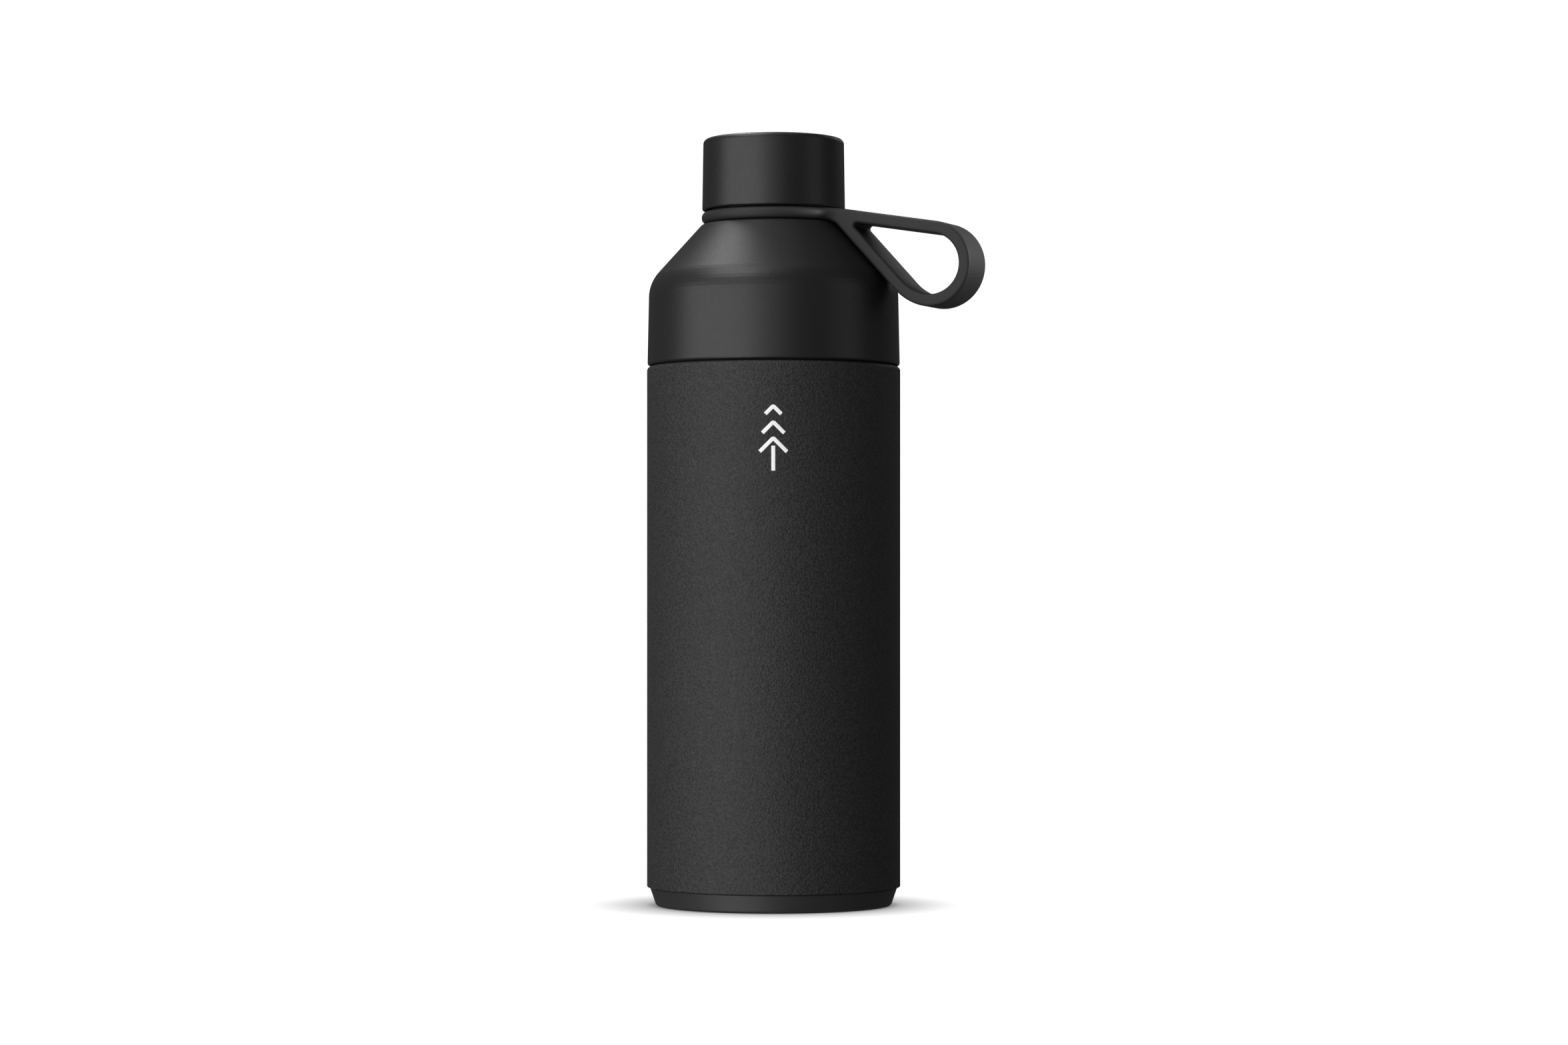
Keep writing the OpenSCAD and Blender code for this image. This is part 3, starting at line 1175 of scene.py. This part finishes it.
@dataclass
class Vessel(SubAssembly):
    """Double-walled steel vessel with its base cap.

    Attributes:
        wall: Thickness of the outer wall.
        inner_wall: Thickness of the inner wall.
        rim_round: Rounding of the rim's outer edge.
        floor_round: Radius inside, between wall and floor.
        base_lean: Angle by which the base cap's side leans inwards, in degrees.
        base_floor: Thickness of the base cap's floor.
        base_wall: Thickness of the base cap's wall at its top.
        base_step: How far the base cap's top is inside the body's radius.
        groove: Four radii across the groove under the base cap, and its depth.
        gate: Inner and outer radius of the gate mark under the base cap, and its depth.
        thread_depth: Height of the mouth's thread.
        thread_below: Distance from the rim down to the thread's start.
        mark: The etched mark.
    """

    wall: float = 0.6
    inner_wall: float = 0.5
    rim_round: float = 1.5
    floor_round: float = 8.0
    base_lean: float = 19.0
    base_floor: float = 2.2
    base_wall: float = 2.8
    base_step: float = 1.0
    groove: tuple[float, ...] = (34.6, 34.9, 36.1, 36.4, 0.5)
    gate: tuple[float, ...] = (1.6, 2.0, 0.35)
    thread_depth: float = 1.1
    thread_below: float = 11.6
    mark: EtchedMark = field(default_factory=EtchedMark)

    def outer_shape(self) -> Shape:
        """Outer wall: a straight tube whose rim rolls in over the vacuum space.

        Returns:
            The closed surface.
        """
        outer, inner = NodeBox.of("outer_wall"), NodeBox.of("inner_wall")
        r, low, high = outer.radius, outer.bottom, outer.top
        lip = inner.radius + 0.1
        return lathe([
            (r - self.wall, low, 0.1),
            (r, low, 0.4),
            (r, high, self.rim_round),
            (lip, high, 0.08),
            (lip, high - self.wall, 0.08),
            (r - self.wall, high - self.wall, self.rim_round - self.wall),
        ], segments=FINE)

    def inner_shape(self) -> Shape:
        """Inner wall: a deep cup with the thread rolled into its mouth.

        Returns:
            The closed surface.
        """
        box = NodeBox.of("inner_wall")
        r = box.radius
        mouth = r - self.inner_wall
        return threaded([
            (0, box.bottom, 0),
            (r, box.bottom, self.floor_round + self.inner_wall),
            (r, box.top, 0.15),
            (mouth, box.top, 0.25),
            (mouth, box.bottom + self.inner_wall, self.floor_round),
            (0, box.bottom + self.inner_wall, 0),
        ], Thread(mouth, -self.thread_depth, box.top - self.thread_below), closed=False)

    def base_shape(self) -> Shape:
        """Base cap: a shallow tapered cup with a moulded groove and gate mark underneath.

        Returns:
            The closed surface.
        """
        box = NodeBox.of("base_cap")
        top_r = NodeBox.of("outer_wall").radius - self.base_step
        foot_r = top_r - box.top * math.tan(math.radians(self.base_lean))
        recess = top_r - self.base_wall
        gate_in, gate_out, gate_depth = self.gate
        *groove, depth = self.groove
        return lathe([
            (0, gate_depth, 0),
            (gate_in, gate_depth, 0.2),
            (gate_out, 0.0, 0.2),
            *((x, z, 0.2) for x, z in zip(groove, (0.0, depth, depth, 0.0))),
            (foot_r, 0.0, 1.3),
            (top_r, box.top, 0.3),
            (recess, box.top, 0.2),
            (recess, self.base_floor, 1.6),
            (0, self.base_floor, 0),
        ], closed=False, segments=FINE)

    def build(self) -> None:
        """Makes and dresses the vessel's pieces."""
        mark = self.mark.shape(NodeBox.of("outer_wall").radius)
        coat, steel, base, etched = Finish.POWDER_COAT, Finish.STEEL, Finish.BASE, Finish.ETCHED
        self.piece(self.outer_shape(), "vessel_outer_wall", "outer_wall", "powder_coat", coat)
        self.piece(self.inner_shape(), "vessel_inner_wall", "inner_wall", "bare_steel", steel)
        self.piece(self.base_shape(), "tapered_base_cap", "base_cap", "base_plastic", base)
        self.piece(mark, "etched_tree_mark", "outer_wall", "bare_steel", etched, replaces=False)
        self.dress("heat_foil", Finish.COPPER)
        self.dress("vessel_bottom", Finish.STEEL)
        self.dress("getter", Finish.GETTER)
        self.dress("port_seal", Finish.GLASS)
        self.dress("base_pad", Finish.ADHESIVE)


@dataclass
class Shoulder(SubAssembly):
    """Screw-on shoulder: conical shell, threaded liner, spout and gasket.

    Attributes:
        cone: Angle of the cone from the axis, in degrees.
        cone_top_r: Radius where the cone would meet the top land.
        bend: Radius of the bend between wall and cone.
        draft: Draft of the wall, in degrees.
        wall: Thickness of the shell.
        liner_depth: Depth of the liner below the shell's outer surface.
        liner_wall: Thickness of the liner.
        bore: Radius of the spout's bore.
        neck: Outer radius of the spout between its ridges.
        journal: Radius that the strap's ring turns on.
        journal_gap: Room between the journal and the shell's hole.
        skirt: Radius of the threaded skirt between its ridges.
        skirt_wall: Thickness of the skirt at its foot.
        flange: Thickness of the flange over the gasket.
        gasket_hole: Radius of the gasket's hole.
        bead: How far the retaining bead stands out of the journal.
        bead_gap: Room between the strap's ring and the bead.
        bead_height: Height of the bead's full width.
        bead_slope: Height over which the bead runs out into the neck.
        foot: Height of the spout's foot.
        thread_depth: Height of both threads.
        skirt_start: Distance from the vessel's rim down to the skirt thread's start.
        neck_start: Distance from the land up to the spout thread's start.
    """

    cone: float = 42.15
    cone_top_r: float = 24.82
    bend: float = 12.9
    draft: float = 1.15
    wall: float = 1.8
    liner_depth: float = 6.2
    liner_wall: float = 1.5
    bore: float = 17.2
    neck: float = 19.7
    journal: float = 20.6
    journal_gap: float = 0.2
    skirt: float = 37.9
    skirt_wall: float = 1.7
    flange: float = 2.0
    gasket_hole: float = 38.3
    bead: float = 1.2
    bead_gap: float = 0.25
    bead_height: float = 1.3
    bead_slope: float = 0.5
    foot: float = 1.5
    thread_depth: float = 1.1
    skirt_start: float = 13.6
    neck_start: float = 9.2

    def __post_init__(self) -> None:
        """Works out where the drafted wall meets the cone."""
        box = NodeBox.of("shoulder_shell")
        self.low, self.land, self.radius = box.bottom, box.top, box.radius
        steep, lean = math.tan(math.radians(self.cone)), math.tan(math.radians(self.draft))
        across = self.cone_top_r + self.land * steep - self.radius - self.low * lean
        self.bend_z = across / (steep - lean)
        self.bend_r = self.radius - (self.bend_z - self.low) * lean

    def bend_at(self, depth: float) -> Corner:
        """The bend's corner at a depth below the outer surface."""
        turn = math.radians(self.cone - self.draft)
        return self.bend_r - depth, self.bend_z - depth * math.tan(turn / 2), self.bend - depth

    def top_at(self, depth: float, rounding: float) -> Corner:
        """The corner of cone and top land at a depth below the outer surface."""
        inwards = depth * math.tan(math.radians(45 - self.cone / 2))
        return self.cone_top_r - inwards, self.land - depth, rounding

    def wall_at(self, depth: float, z: float) -> float:
        """Radius of the drafted wall at a depth and a height."""
        return self.radius - depth - (z - self.low) * math.tan(math.radians(self.draft))

    def shell_shape(self) -> Shape:
        """Shell: drafted wall, wide bend, straight cone and a small top land."""
        hole = self.journal + self.journal_gap
        return lathe([
            (self.radius - self.wall, self.low, 0.3),
            (self.radius, self.low, 0.8),
            self.bend_at(0),
            self.top_at(0, 2.0),
            (hole, self.land, 0.4),
            (hole, self.land - self.wall, 0.2),
            self.top_at(self.wall, 0.5),
            self.bend_at(self.wall),
        ], segments=FINE)

    def liner_shape(self) -> Shape:
        """Liner: threaded skirt, seat for the gasket and the funnel up to the spout.

        Returns:
            The closed surface.
        """
        box, gasket = NodeBox.of("shoulder_liner"), NodeBox.of("shoulder_gasket")
        seat = gasket.top + 0.1
        inner = self.liner_depth + self.liner_wall
        shelf = seat + self.flange
        rim = NodeBox.of("outer_wall").top
        return threaded([
            (self.skirt - self.skirt_wall, box.bottom, 0.4),
            (self.skirt, box.bottom, 0.6),
            (self.skirt, seat, 0.2),
            (box.radius, seat, 0.3),
            (box.radius, shelf, 0.3),
            (self.wall_at(self.liner_depth, shelf), shelf, 0.2),
            self.bend_at(self.liner_depth),
            self.top_at(self.liner_depth, 1.0),
            (self.bore, self.land - self.liner_depth, 0.2),
            (self.bore, self.land - inner, 0.6),
            self.top_at(inner, 1.0),
            self.bend_at(inner),
            (self.wall_at(inner, shelf), shelf, 0.2),
        ], Thread(self.skirt, self.thread_depth, rim - self.skirt_start))

    def spout_shape(self) -> Shape:
        """Spout: foot, journal, retaining bead, thread and a rounded lip.

        Returns:
            The closed surface.
        """
        box = NodeBox.of("spout")
        step = box.bottom + self.foot
        bead_z = NodeBox.of("carry_strap").top + self.bead_gap
        bead_top = bead_z + self.bead_height
        bead_r = self.journal + self.bead
        return threaded([
            (self.bore, box.bottom, 0.1),
            (bead_r, box.bottom, 0.2),
            (bead_r, step, 0.4),
            (self.journal, step, 0.2),
            (self.journal, bead_z, 0.15),
            (bead_r, bead_z, 0.4),
            (bead_r, bead_top, 0.8),
            (self.neck, bead_top + self.bead_slope, 0.3),
            (self.neck, box.top, 1.1),
            (self.bore, box.top, 1.1),
        ], Thread(self.neck, self.thread_depth, self.land + self.neck_start))

    def build(self) -> None:
        """Makes and dresses the shoulder's pieces."""
        shell, liner, gasket = "shoulder_shell", "shoulder_liner", "shoulder_gasket"
        plain, inside, soft = Finish.SHELL, Finish.LINER, Finish.GASKET
        ring = soft_ring(gasket, self.gasket_hole)
        self.piece(self.shell_shape(), "shoulder_cone_shell", shell, "shell_plastic", plain)
        self.piece(self.liner_shape(), "shoulder_threaded_liner", liner, "liner_plastic", inside)
        self.piece(self.spout_shape(), "drinking_spout", "spout", "liner_plastic", inside)
        self.piece(ring, "rim_gasket", gasket, "black_silicone", soft)
        self.dress("shoulder_foam", Finish.FOAM)


@dataclass
class CarryStrap(SubAssembly):
    """Moulded ring and teardrop loop, in one piece of rubber.

    The solid is where two prisms overlap: its plan, a disc that flows into a straight
    band, and its side view, the ring's slab that flows into a teardrop with a hole. Its
    edges are rounded, and the ring's bore is cut out.

    Attributes:
        ring_r: Outer radius of the ring.
        bore: Radius of the ring's bore.
        ring_height: Thickness of the ring.
        width: Width of the band.
        flow: Radius with which the ring flows into the band, seen from above.
        reach: Distance from the axis to the centre of the loop's round end.
        drop: Depth of that centre below the ring's top.
        end_r: Outer radius of the round end.
        band: Thickness of the band round the end.
        upper_slope: Angle of the upper arm, in degrees.
        lower_slope: Angle of the lower arm, in degrees.
        bend_start: Angle at which the round end goes over into the wide bend.
        bend_more: How much larger the outer wide bend is than the round end.
        bend_less: How much smaller the inner wide bend is than the outer.
        edge: Rounding of the band's edges.
        ring_edge: Rounding of the ring's edges.
        bore_edge: Rounding of the bore's edges.
        edge_before: How far inside the ring's radius the rounding starts to change.
        edge_run: Length over which it changes to the band's.
        neck: Rounding where the lower arm leaves the ring.
        crown: Rounding where the upper arm leaves the ring.
        apex: Rounding of the hole's corner towards the ring.
        step: Distance between points of its surface.
        rounds: How often the surface is evened out.
    """

    ring_r: float = 25.0
    bore: float = 20.9
    ring_height: float = 4.2
    width: float = 16.0
    flow: float = 7.0
    reach: float = 61.2
    drop: float = 20.4
    end_r: float = 14.6
    band: float = 4.2
    upper_slope: float = 9.1
    lower_slope: float = 47.0
    bend_start: float = -108.0
    bend_more: float = 5.0
    bend_less: float = 3.3
    edge: float = 1.0
    ring_edge: float = 1.95
    bore_edge: float = 0.7
    edge_before: float = 3.0
    edge_run: float = 9.0
    neck: float = 7.0
    crown: float = 30.0
    apex: float = 1.0
    step: float = 0.42
    rounds: int = 4

    def __post_init__(self) -> None:
        """Works out both outlines once."""
        self.top = NodeBox.of("carry_strap").top
        self.bottom = self.top - self.ring_height
        self.plan = self.plan_outline()
        self.side, self.hole = self.side_outlines()

    def plan_outline(self) -> np.ndarray:
        """Outline from above: the ring's circle, an arc of radius flow each side, the band.

        Returns:
            The points, one row each.
        """
        half, far = self.width / 2, 100.0
        up = half + self.flow
        over = math.sqrt((self.ring_r + self.flow) ** 2 - up**2)
        touch = math.degrees(math.atan2(up, over))
        rise = arc((over, up), self.flow, -90, touch - 180)
        fall = arc((over, -up), self.flow, 180 - touch, 90)
        ring = arc((0, 0), self.ring_r, touch, 360 - touch, 3.0)
        return np.concatenate([[[far, half]], rise, ring, fall, [[far, -half]]])

    def loop_end(self, radius: float, bend: float) -> np.ndarray:
        """Round end of the loop and the wide bend after it, clockwise from the upper arm.

        Args:
            radius: Radius of the round end.
            bend: Radius of the wide bend.

        Returns:
            The points across and up, one row each.
        """
        centre = np.array([self.reach, self.top - self.drop])
        turn = math.radians(self.bend_start)
        away = np.array([math.cos(turn), math.sin(turn)])
        last = -90 - self.lower_slope
        return np.concatenate([
            arc(centre, radius, 90 - self.upper_slope, self.bend_start, 4.0),
            arc(centre - (bend - radius) * away, bend, self.bend_start, last, 4.0)[1:],
        ])

    def side_outlines(self) -> tuple[np.ndarray, np.ndarray]:
        """Outlines from the side: the ring's slab with the teardrop, and the hole in it.

        Returns:
            The outer outline and the hole.
        """
        outer_bend = self.end_r + self.bend_more
        outer = self.loop_end(self.end_r, outer_bend)
        inner = self.loop_end(self.end_r - self.band, outer_bend - self.bend_less)
        slopes = (self.lower_slope, self.upper_slope)
        steep, gentle = (math.tan(math.radians(slope)) for slope in slopes)
        behind = -40.0
        first, last = outer[0], outer[-1]
        upper_x = first[0] - (self.top - first[1]) / gentle
        lower_x = last[0] - (self.bottom - last[1]) / steep
        low_back, high_back = (behind, self.bottom, 0), (behind, self.top, 0)
        neck = rounded_corner((*last, 0), (lower_x, self.bottom, self.neck), low_back)
        crown = rounded_corner(high_back, (upper_x, self.top, self.crown), (*first, 0))
        side = np.concatenate([outer, neck, [low_back[:2], high_back[:2]], crown])
        a, b = inner[0], inner[-1]
        u = (b[1] - a[1] + b[0] * steep - a[0] * gentle) / (steep - gentle)
        apex = (u, a[1] - (u - a[0]) * gentle, self.apex)
        hole = np.concatenate([inner, rounded_corner((*b, 0), apex, (*a, 0))])
        return side, hole

    def distance(self, points: np.ndarray) -> np.ndarray:
        """Distance of points to the strap's surface, negative inside the rubber.

        Args:
            points: The points, one row each.

        Returns:
            One distance for each point.
        """
        plan = polygon_distance(points[:, :2], self.plan)
        level = points[:, [0, 2]]
        side = np.maximum(polygon_distance(level, self.side), -polygon_distance(level, self.hole))
        return self.combine(plan, side, points[:, 0], np.hypot(points[:, 0], points[:, 1]))

    def combine(
        self, plan: np.ndarray, side: np.ndarray, x: np.ndarray, out: np.ndarray
    ) -> np.ndarray:
        """The overlap of plan and side view with its edges rounded, less the bore.

        Args:
            plan: Distance to the outline from above.
            side: Distance to the outline from the side.
            x: Place along the loop.
            out: Distance from the axis.

        Returns:
            Distance to the strap's surface.
        """
        share = smooth_step((x - self.ring_r + self.edge_before) / self.edge_run)
        edge = self.ring_edge + (self.edge - self.ring_edge) * share
        return rounded_both(rounded_both(plan, side, edge), self.bore - out, self.bore_edge)

    def shape(self) -> Shape:
        """The strap's surface, found on a grid and then settled onto the exact shape.

        Returns:
            The closed surface.
        """
        low = np.array([-self.ring_r - 1, -self.ring_r - 1, self.top - self.drop - self.end_r - 1])
        high = np.array([self.reach + self.end_r + 1, self.ring_r + 1, self.top + 1])
        x, y, z = (np.arange(a, b + self.step, self.step) for a, b in zip(low, high))
        flat = np.stack(np.meshgrid(x, y, indexing="ij"), -1).reshape(-1, 2)
        level = np.stack(np.meshgrid(x, z, indexing="ij"), -1).reshape(-1, 2)
        plan = polygon_distance(flat, self.plan).reshape(len(x), len(y), 1)
        side = np.maximum(polygon_distance(level, self.side), -polygon_distance(level, self.hole))
        side = side.reshape(len(x), 1, len(z))
        out = np.hypot(flat[:, 0], flat[:, 1]).reshape(len(x), len(y), 1)
        values = self.combine(plan, side, x[:, None, None], out)
        return settled(net(values, low, self.step), self.distance, self.rounds)

    def build(self) -> None:
        """Makes and dresses the strap."""
        self.piece(self.shape(), "carry_strap_loop", "carry_strap", "strap_rubber", Finish.STRAP)


@dataclass
class Cap(SubAssembly):
    """Screw cap: shell, threaded liner and seal.

    Attributes:
        wall: Thickness of the shell.
        taper: How much smaller the shell is at its top.
        top_round: Rounding round the top.
        liner_wall: Radius of the liner's threaded wall.
        thread_depth: Height of the liner's thread.
        thread_start: Distance from the shoulder's land up to the thread's start.
        seal_hole: Radius of the seal's hole.
    """

    wall: float = 1.7
    taper: float = 0.38
    top_round: float = 1.8
    liner_wall: float = 21.2
    thread_depth: float = 1.2
    thread_start: float = 11.2
    seal_hole: float = 17.4

    def shell_shape(self) -> Shape:
        """Shell: a slightly tapered cup, upside down, with a soft top edge.

        Returns:
            The closed surface.
        """
        box = NodeBox.of("cap_shell")
        r, low, high = box.radius, box.bottom, box.top
        return lathe([
            (0, high - self.wall, 0),
            (r - self.taper - self.wall, high - self.wall, 0.6),
            (r - self.wall, low, 0.4),
            (r, low, 0.5),
            (r - self.taper, high, self.top_round),
            (0, high, 0),
        ], closed=False, segments=FINE)

    def liner_shape(self) -> Shape:
        """Liner: threaded sleeve with a closed top.

        Returns:
            The closed surface.
        """
        box, seal = NodeBox.of("cap_liner"), NodeBox.of("cap_seal")
        ceiling = seal.top + 0.1
        start = NodeBox.of("shoulder_shell").top + self.thread_start
        return threaded([
            (0, box.top, 0),
            (box.radius, box.top, 0.4),
            (box.radius, box.bottom, 0.4),
            (self.liner_wall, box.bottom, 0.5),
            (self.liner_wall, ceiling, 0.2),
            (0, ceiling, 0),
        ], Thread(self.liner_wall, -self.thread_depth, start), closed=False)

    def build(self) -> None:
        """Makes and dresses the cap's pieces."""
        plain, inside, soft = Finish.SHELL, Finish.LINER, Finish.SEAL
        ring = soft_ring("cap_seal", self.seal_hole)
        self.piece(self.shell_shape(), "screw_cap_shell", "cap_shell", "shell_plastic", plain)
        self.piece(self.liner_shape(), "screw_cap_liner", "cap_liner", "liner_plastic", inside)
        self.piece(ring, "screw_cap_seal", "cap_seal", "grey_silicone", soft)
        self.dress("cap_foam", Finish.FOAM)


# ---------------------------------------------------------------- studio


@dataclass(frozen=True)
class Softbox:
    """Flat rectangular light that faces the bottle.

    Attributes:
        name: The light's name.
        turn: Its direction, in degrees right of the camera.
        height: Its direction above the horizon, in degrees.
        size: Its width and height, in metres.
        radiance: How bright its face is.
        away: Its distance, in metres.
        only: The one piece it lights, or nothing for a light that reaches all.
    """

    name: str
    turn: float
    height: float
    size: tuple[float, float]
    radiance: float
    away: float = 1.5
    only: str = ""

    def build(self, studio: "Studio") -> None:
        """Puts the light into the scene; its power is pi times its area times its radiance.

        Args:
            studio: The studio, which knows where the camera is.
        """
        data = bpy.data.lights.new(self.name, "AREA")
        data.shape = "RECTANGLE"
        data.size, data.size_y = self.size
        data.energy = math.pi * self.size[0] * self.size[1] * self.radiance
        made = bpy.data.objects.new(self.name, data)
        way = studio.towards(self.turn, self.height)
        made.location = way * self.away + Vector((0, 0, studio.aim))
        made.rotation_mode = "QUATERNION"
        made.rotation_quaternion = (-way).to_track_quat("-Z", "Y")
        bpy.context.scene.collection.objects.link(made)
        if self.only:
            lit = bpy.data.collections.new(f"{self.name}_target")
            lit.objects.link(bpy.data.objects[self.only])
            made.light_linking.receiver_collection = lit


@dataclass
class Studio:
    """Pale floor, soft lights and the camera.

    Attributes:
        azimuth: Direction of the camera from the bottle, in degrees from -Y towards +X.
        distance: Distance of the camera from the bottle's axis, in metres.
        eye: Height of the camera, in metres.
        aside: How far the camera stands to the right of the axis, in metres.
        lens: Focal length, in millimetres.
        rise: Vertical shift of the picture.
        sensor: Width of the camera's sensor, in millimetres.
        clip: Nearest and farthest distance that the camera sees, in metres.
        floor_rings: Radii of the floor's rings of points, in metres.
        aim: Height that the lights face, in metres.
        contact: How far the painted contact shadow reaches, in metres.
        contact_power: How fast it fades.
        contact_rays: Number of rays that look for it.
        white: Brightness of floor and backdrop, a little over white.
        room: Brightness of the dim room, as the bottle sees it.
        lights: The softboxes: a wide bank on the left, one above it, one behind for the
            cone, a weak strip and a weak light behind on the right, a fill in front, a
            faint one overhead, the floor's bounce from below, and an accent each for
            the strap and the mark.
    """

    azimuth: float = 23.5
    distance: float = 1.376
    eye: float = 0.1049
    aside: float = 0.0036
    lens: float = 90.86
    rise: float = 0.0514
    sensor: float = 36.0
    clip: tuple[float, float] = (0.05, 60.0)
    floor_rings: tuple[float, ...] = (0.3, 1.0, 3.0, 12.0)
    aim: float = 0.15
    contact: float = 0.025
    contact_power: float = 1.25
    contact_rays: int = 12
    white: float = 1.06
    room: float = 0.073
    lights: tuple[Softbox, ...] = (
        Softbox("bank_near", -34, 8, (0.95, 0.64), 2.75),
        Softbox("bank_far", -70, 8, (0.95, 0.64), 2.4),
        Softbox("upper_bank", -52, 56, (0.95, 0.64), 4.6),
        Softbox("cone_light", -150, 62, (0.5, 0.5), 11.5),
        Softbox("right_strip", 70, 12, (0.55, 1.1), 0.52),
        Softbox("right_back", 142, 28, (0.5, 0.6), 0.9),
        Softbox("front_fill", -4, 10, (0.66, 0.8), 0.8),
        Softbox("overhead", -20, 84, (0.9, 0.9), 0.4),
        Softbox("floor_bounce", -38, -35, (1.1, 0.5), 3.8),
        Softbox("strap_accent", 90, 17, (0.6, 0.6), 17.0, only="carry_strap_loop"),
        Softbox("mark_accent", -42, 10, (0.6, 0.6), 7.0, only="etched_tree_mark"),
    )

    def towards(self, turn: float, height: float = 0.0) -> Vector:
        """Unit vector from the bottle, turn degrees right of the camera, height degrees up."""
        a, e = math.radians(self.azimuth + turn), math.radians(height)
        return Vector((math.sin(a) * math.cos(e), -math.cos(a) * math.cos(e), math.sin(e)))

    def camera(self) -> None:
        """Level camera with a long lens and a small rise."""
        data = bpy.data.cameras.new("studio_camera")
        data.lens, data.sensor_width = self.lens, self.sensor
        data.shift_y = self.rise
        data.dof.use_dof = False
        data.clip_start, data.clip_end = self.clip
        made = bpy.data.objects.new("studio_camera", data)
        back = self.towards(0)
        right = self.towards(90)
        made.location = back * self.distance + right * self.aside + Vector((0, 0, self.eye))
        made.rotation_mode = "QUATERNION"
        made.rotation_quaternion = (-back).to_track_quat("-Z", "Y")
        bpy.context.scene.collection.objects.link(made)
        bpy.context.scene.camera = made

    def floor(self) -> None:
        """Large pale disc under the bottle that glows evenly, with a contact shadow painted into
        its glow.

        Its bounce comes from a softbox of its own, so it lets light through and the
        bottle's reflections don't see it.
        """
        around, rings = 96, np.array(self.floor_rings) / MM
        angle = np.linspace(0, 2 * np.pi, around, endpoint=False)
        ring = np.stack([np.cos(angle), np.sin(angle), np.zeros(around)], 1)
        points = np.concatenate([ring * r for r in rings] + [np.zeros((1, 3))])
        quads = grid_quads(len(rings), around, False, True)
        i = np.arange(around)
        fan = np.stack([np.full(around, len(points) - 1), i, (i + 1) % around], 1)
        made = Shape(points, quads[:, ::-1], fan).mesh_object("studio_floor")
        r = Recipe("pale_floor")
        settings, inputs = {"samples": self.contact_rays}, {"Distance": self.contact}
        # painted contact shadow: the glow darkens where the occlusion node finds the bottle near
        open_sky = Wire(r, r.node("ShaderNodeAmbientOcclusion", settings, inputs).outputs["AO"])
        r.set(
            Base_Color=(0, 0, 0, 1), Roughness=1.0, Specular_IOR_Level=0.0,
            Emission_Color=r.blend(open_sky**self.contact_power, grey(0), grey(self.white)),
            Emission_Strength=1.0,
        )
        made.data.materials.append(r.material)
        made.visible_diffuse = made.visible_glossy = made.visible_shadow = False

    def world(self) -> None:
        """White backdrop for the camera over a dim grey room for everything else."""
        world = bpy.data.worlds.new("studio_world")
        bpy.context.scene.world = world
        world.use_nodes = True
        tree = Tree(world.node_tree)
        tree.tree.nodes.clear()
        seen = tree.node("ShaderNodeLightPath").outputs["Is Camera Ray"]
        inputs = {0: Wire(tree, seen)}
        for slot, strength in ((1, self.room), (2, self.white)):
            level = {"Color": (1, 1, 1, 1), "Strength": strength}
            side = tree.node("ShaderNodeBackground", inputs=level)
            inputs[slot] = Wire(tree, side.outputs[0])
        mix = tree.node("ShaderNodeMixShader", inputs=inputs)
        tree.node("ShaderNodeOutputWorld", inputs={"Surface": Wire(tree, mix.outputs[0])})

    def build(self) -> None:
        """Sets up the studio."""
        bpy.context.scene.view_settings.view_transform = "Standard"
        self.camera()
        self.floor()
        self.world()
        for light in self.lights:
            light.build(self)


def main(frame: dict) -> None:
    """Builds the bottle and its studio round the frame.
    """
    logging.basicConfig(level=logging.INFO, format="%(name)s: %(message)s")
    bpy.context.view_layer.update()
    for part in (Vessel, Shoulder, CarryStrap, Cap):
        part(frame).build()
    Studio().build()


if __name__ == "__main__":
    main(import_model())
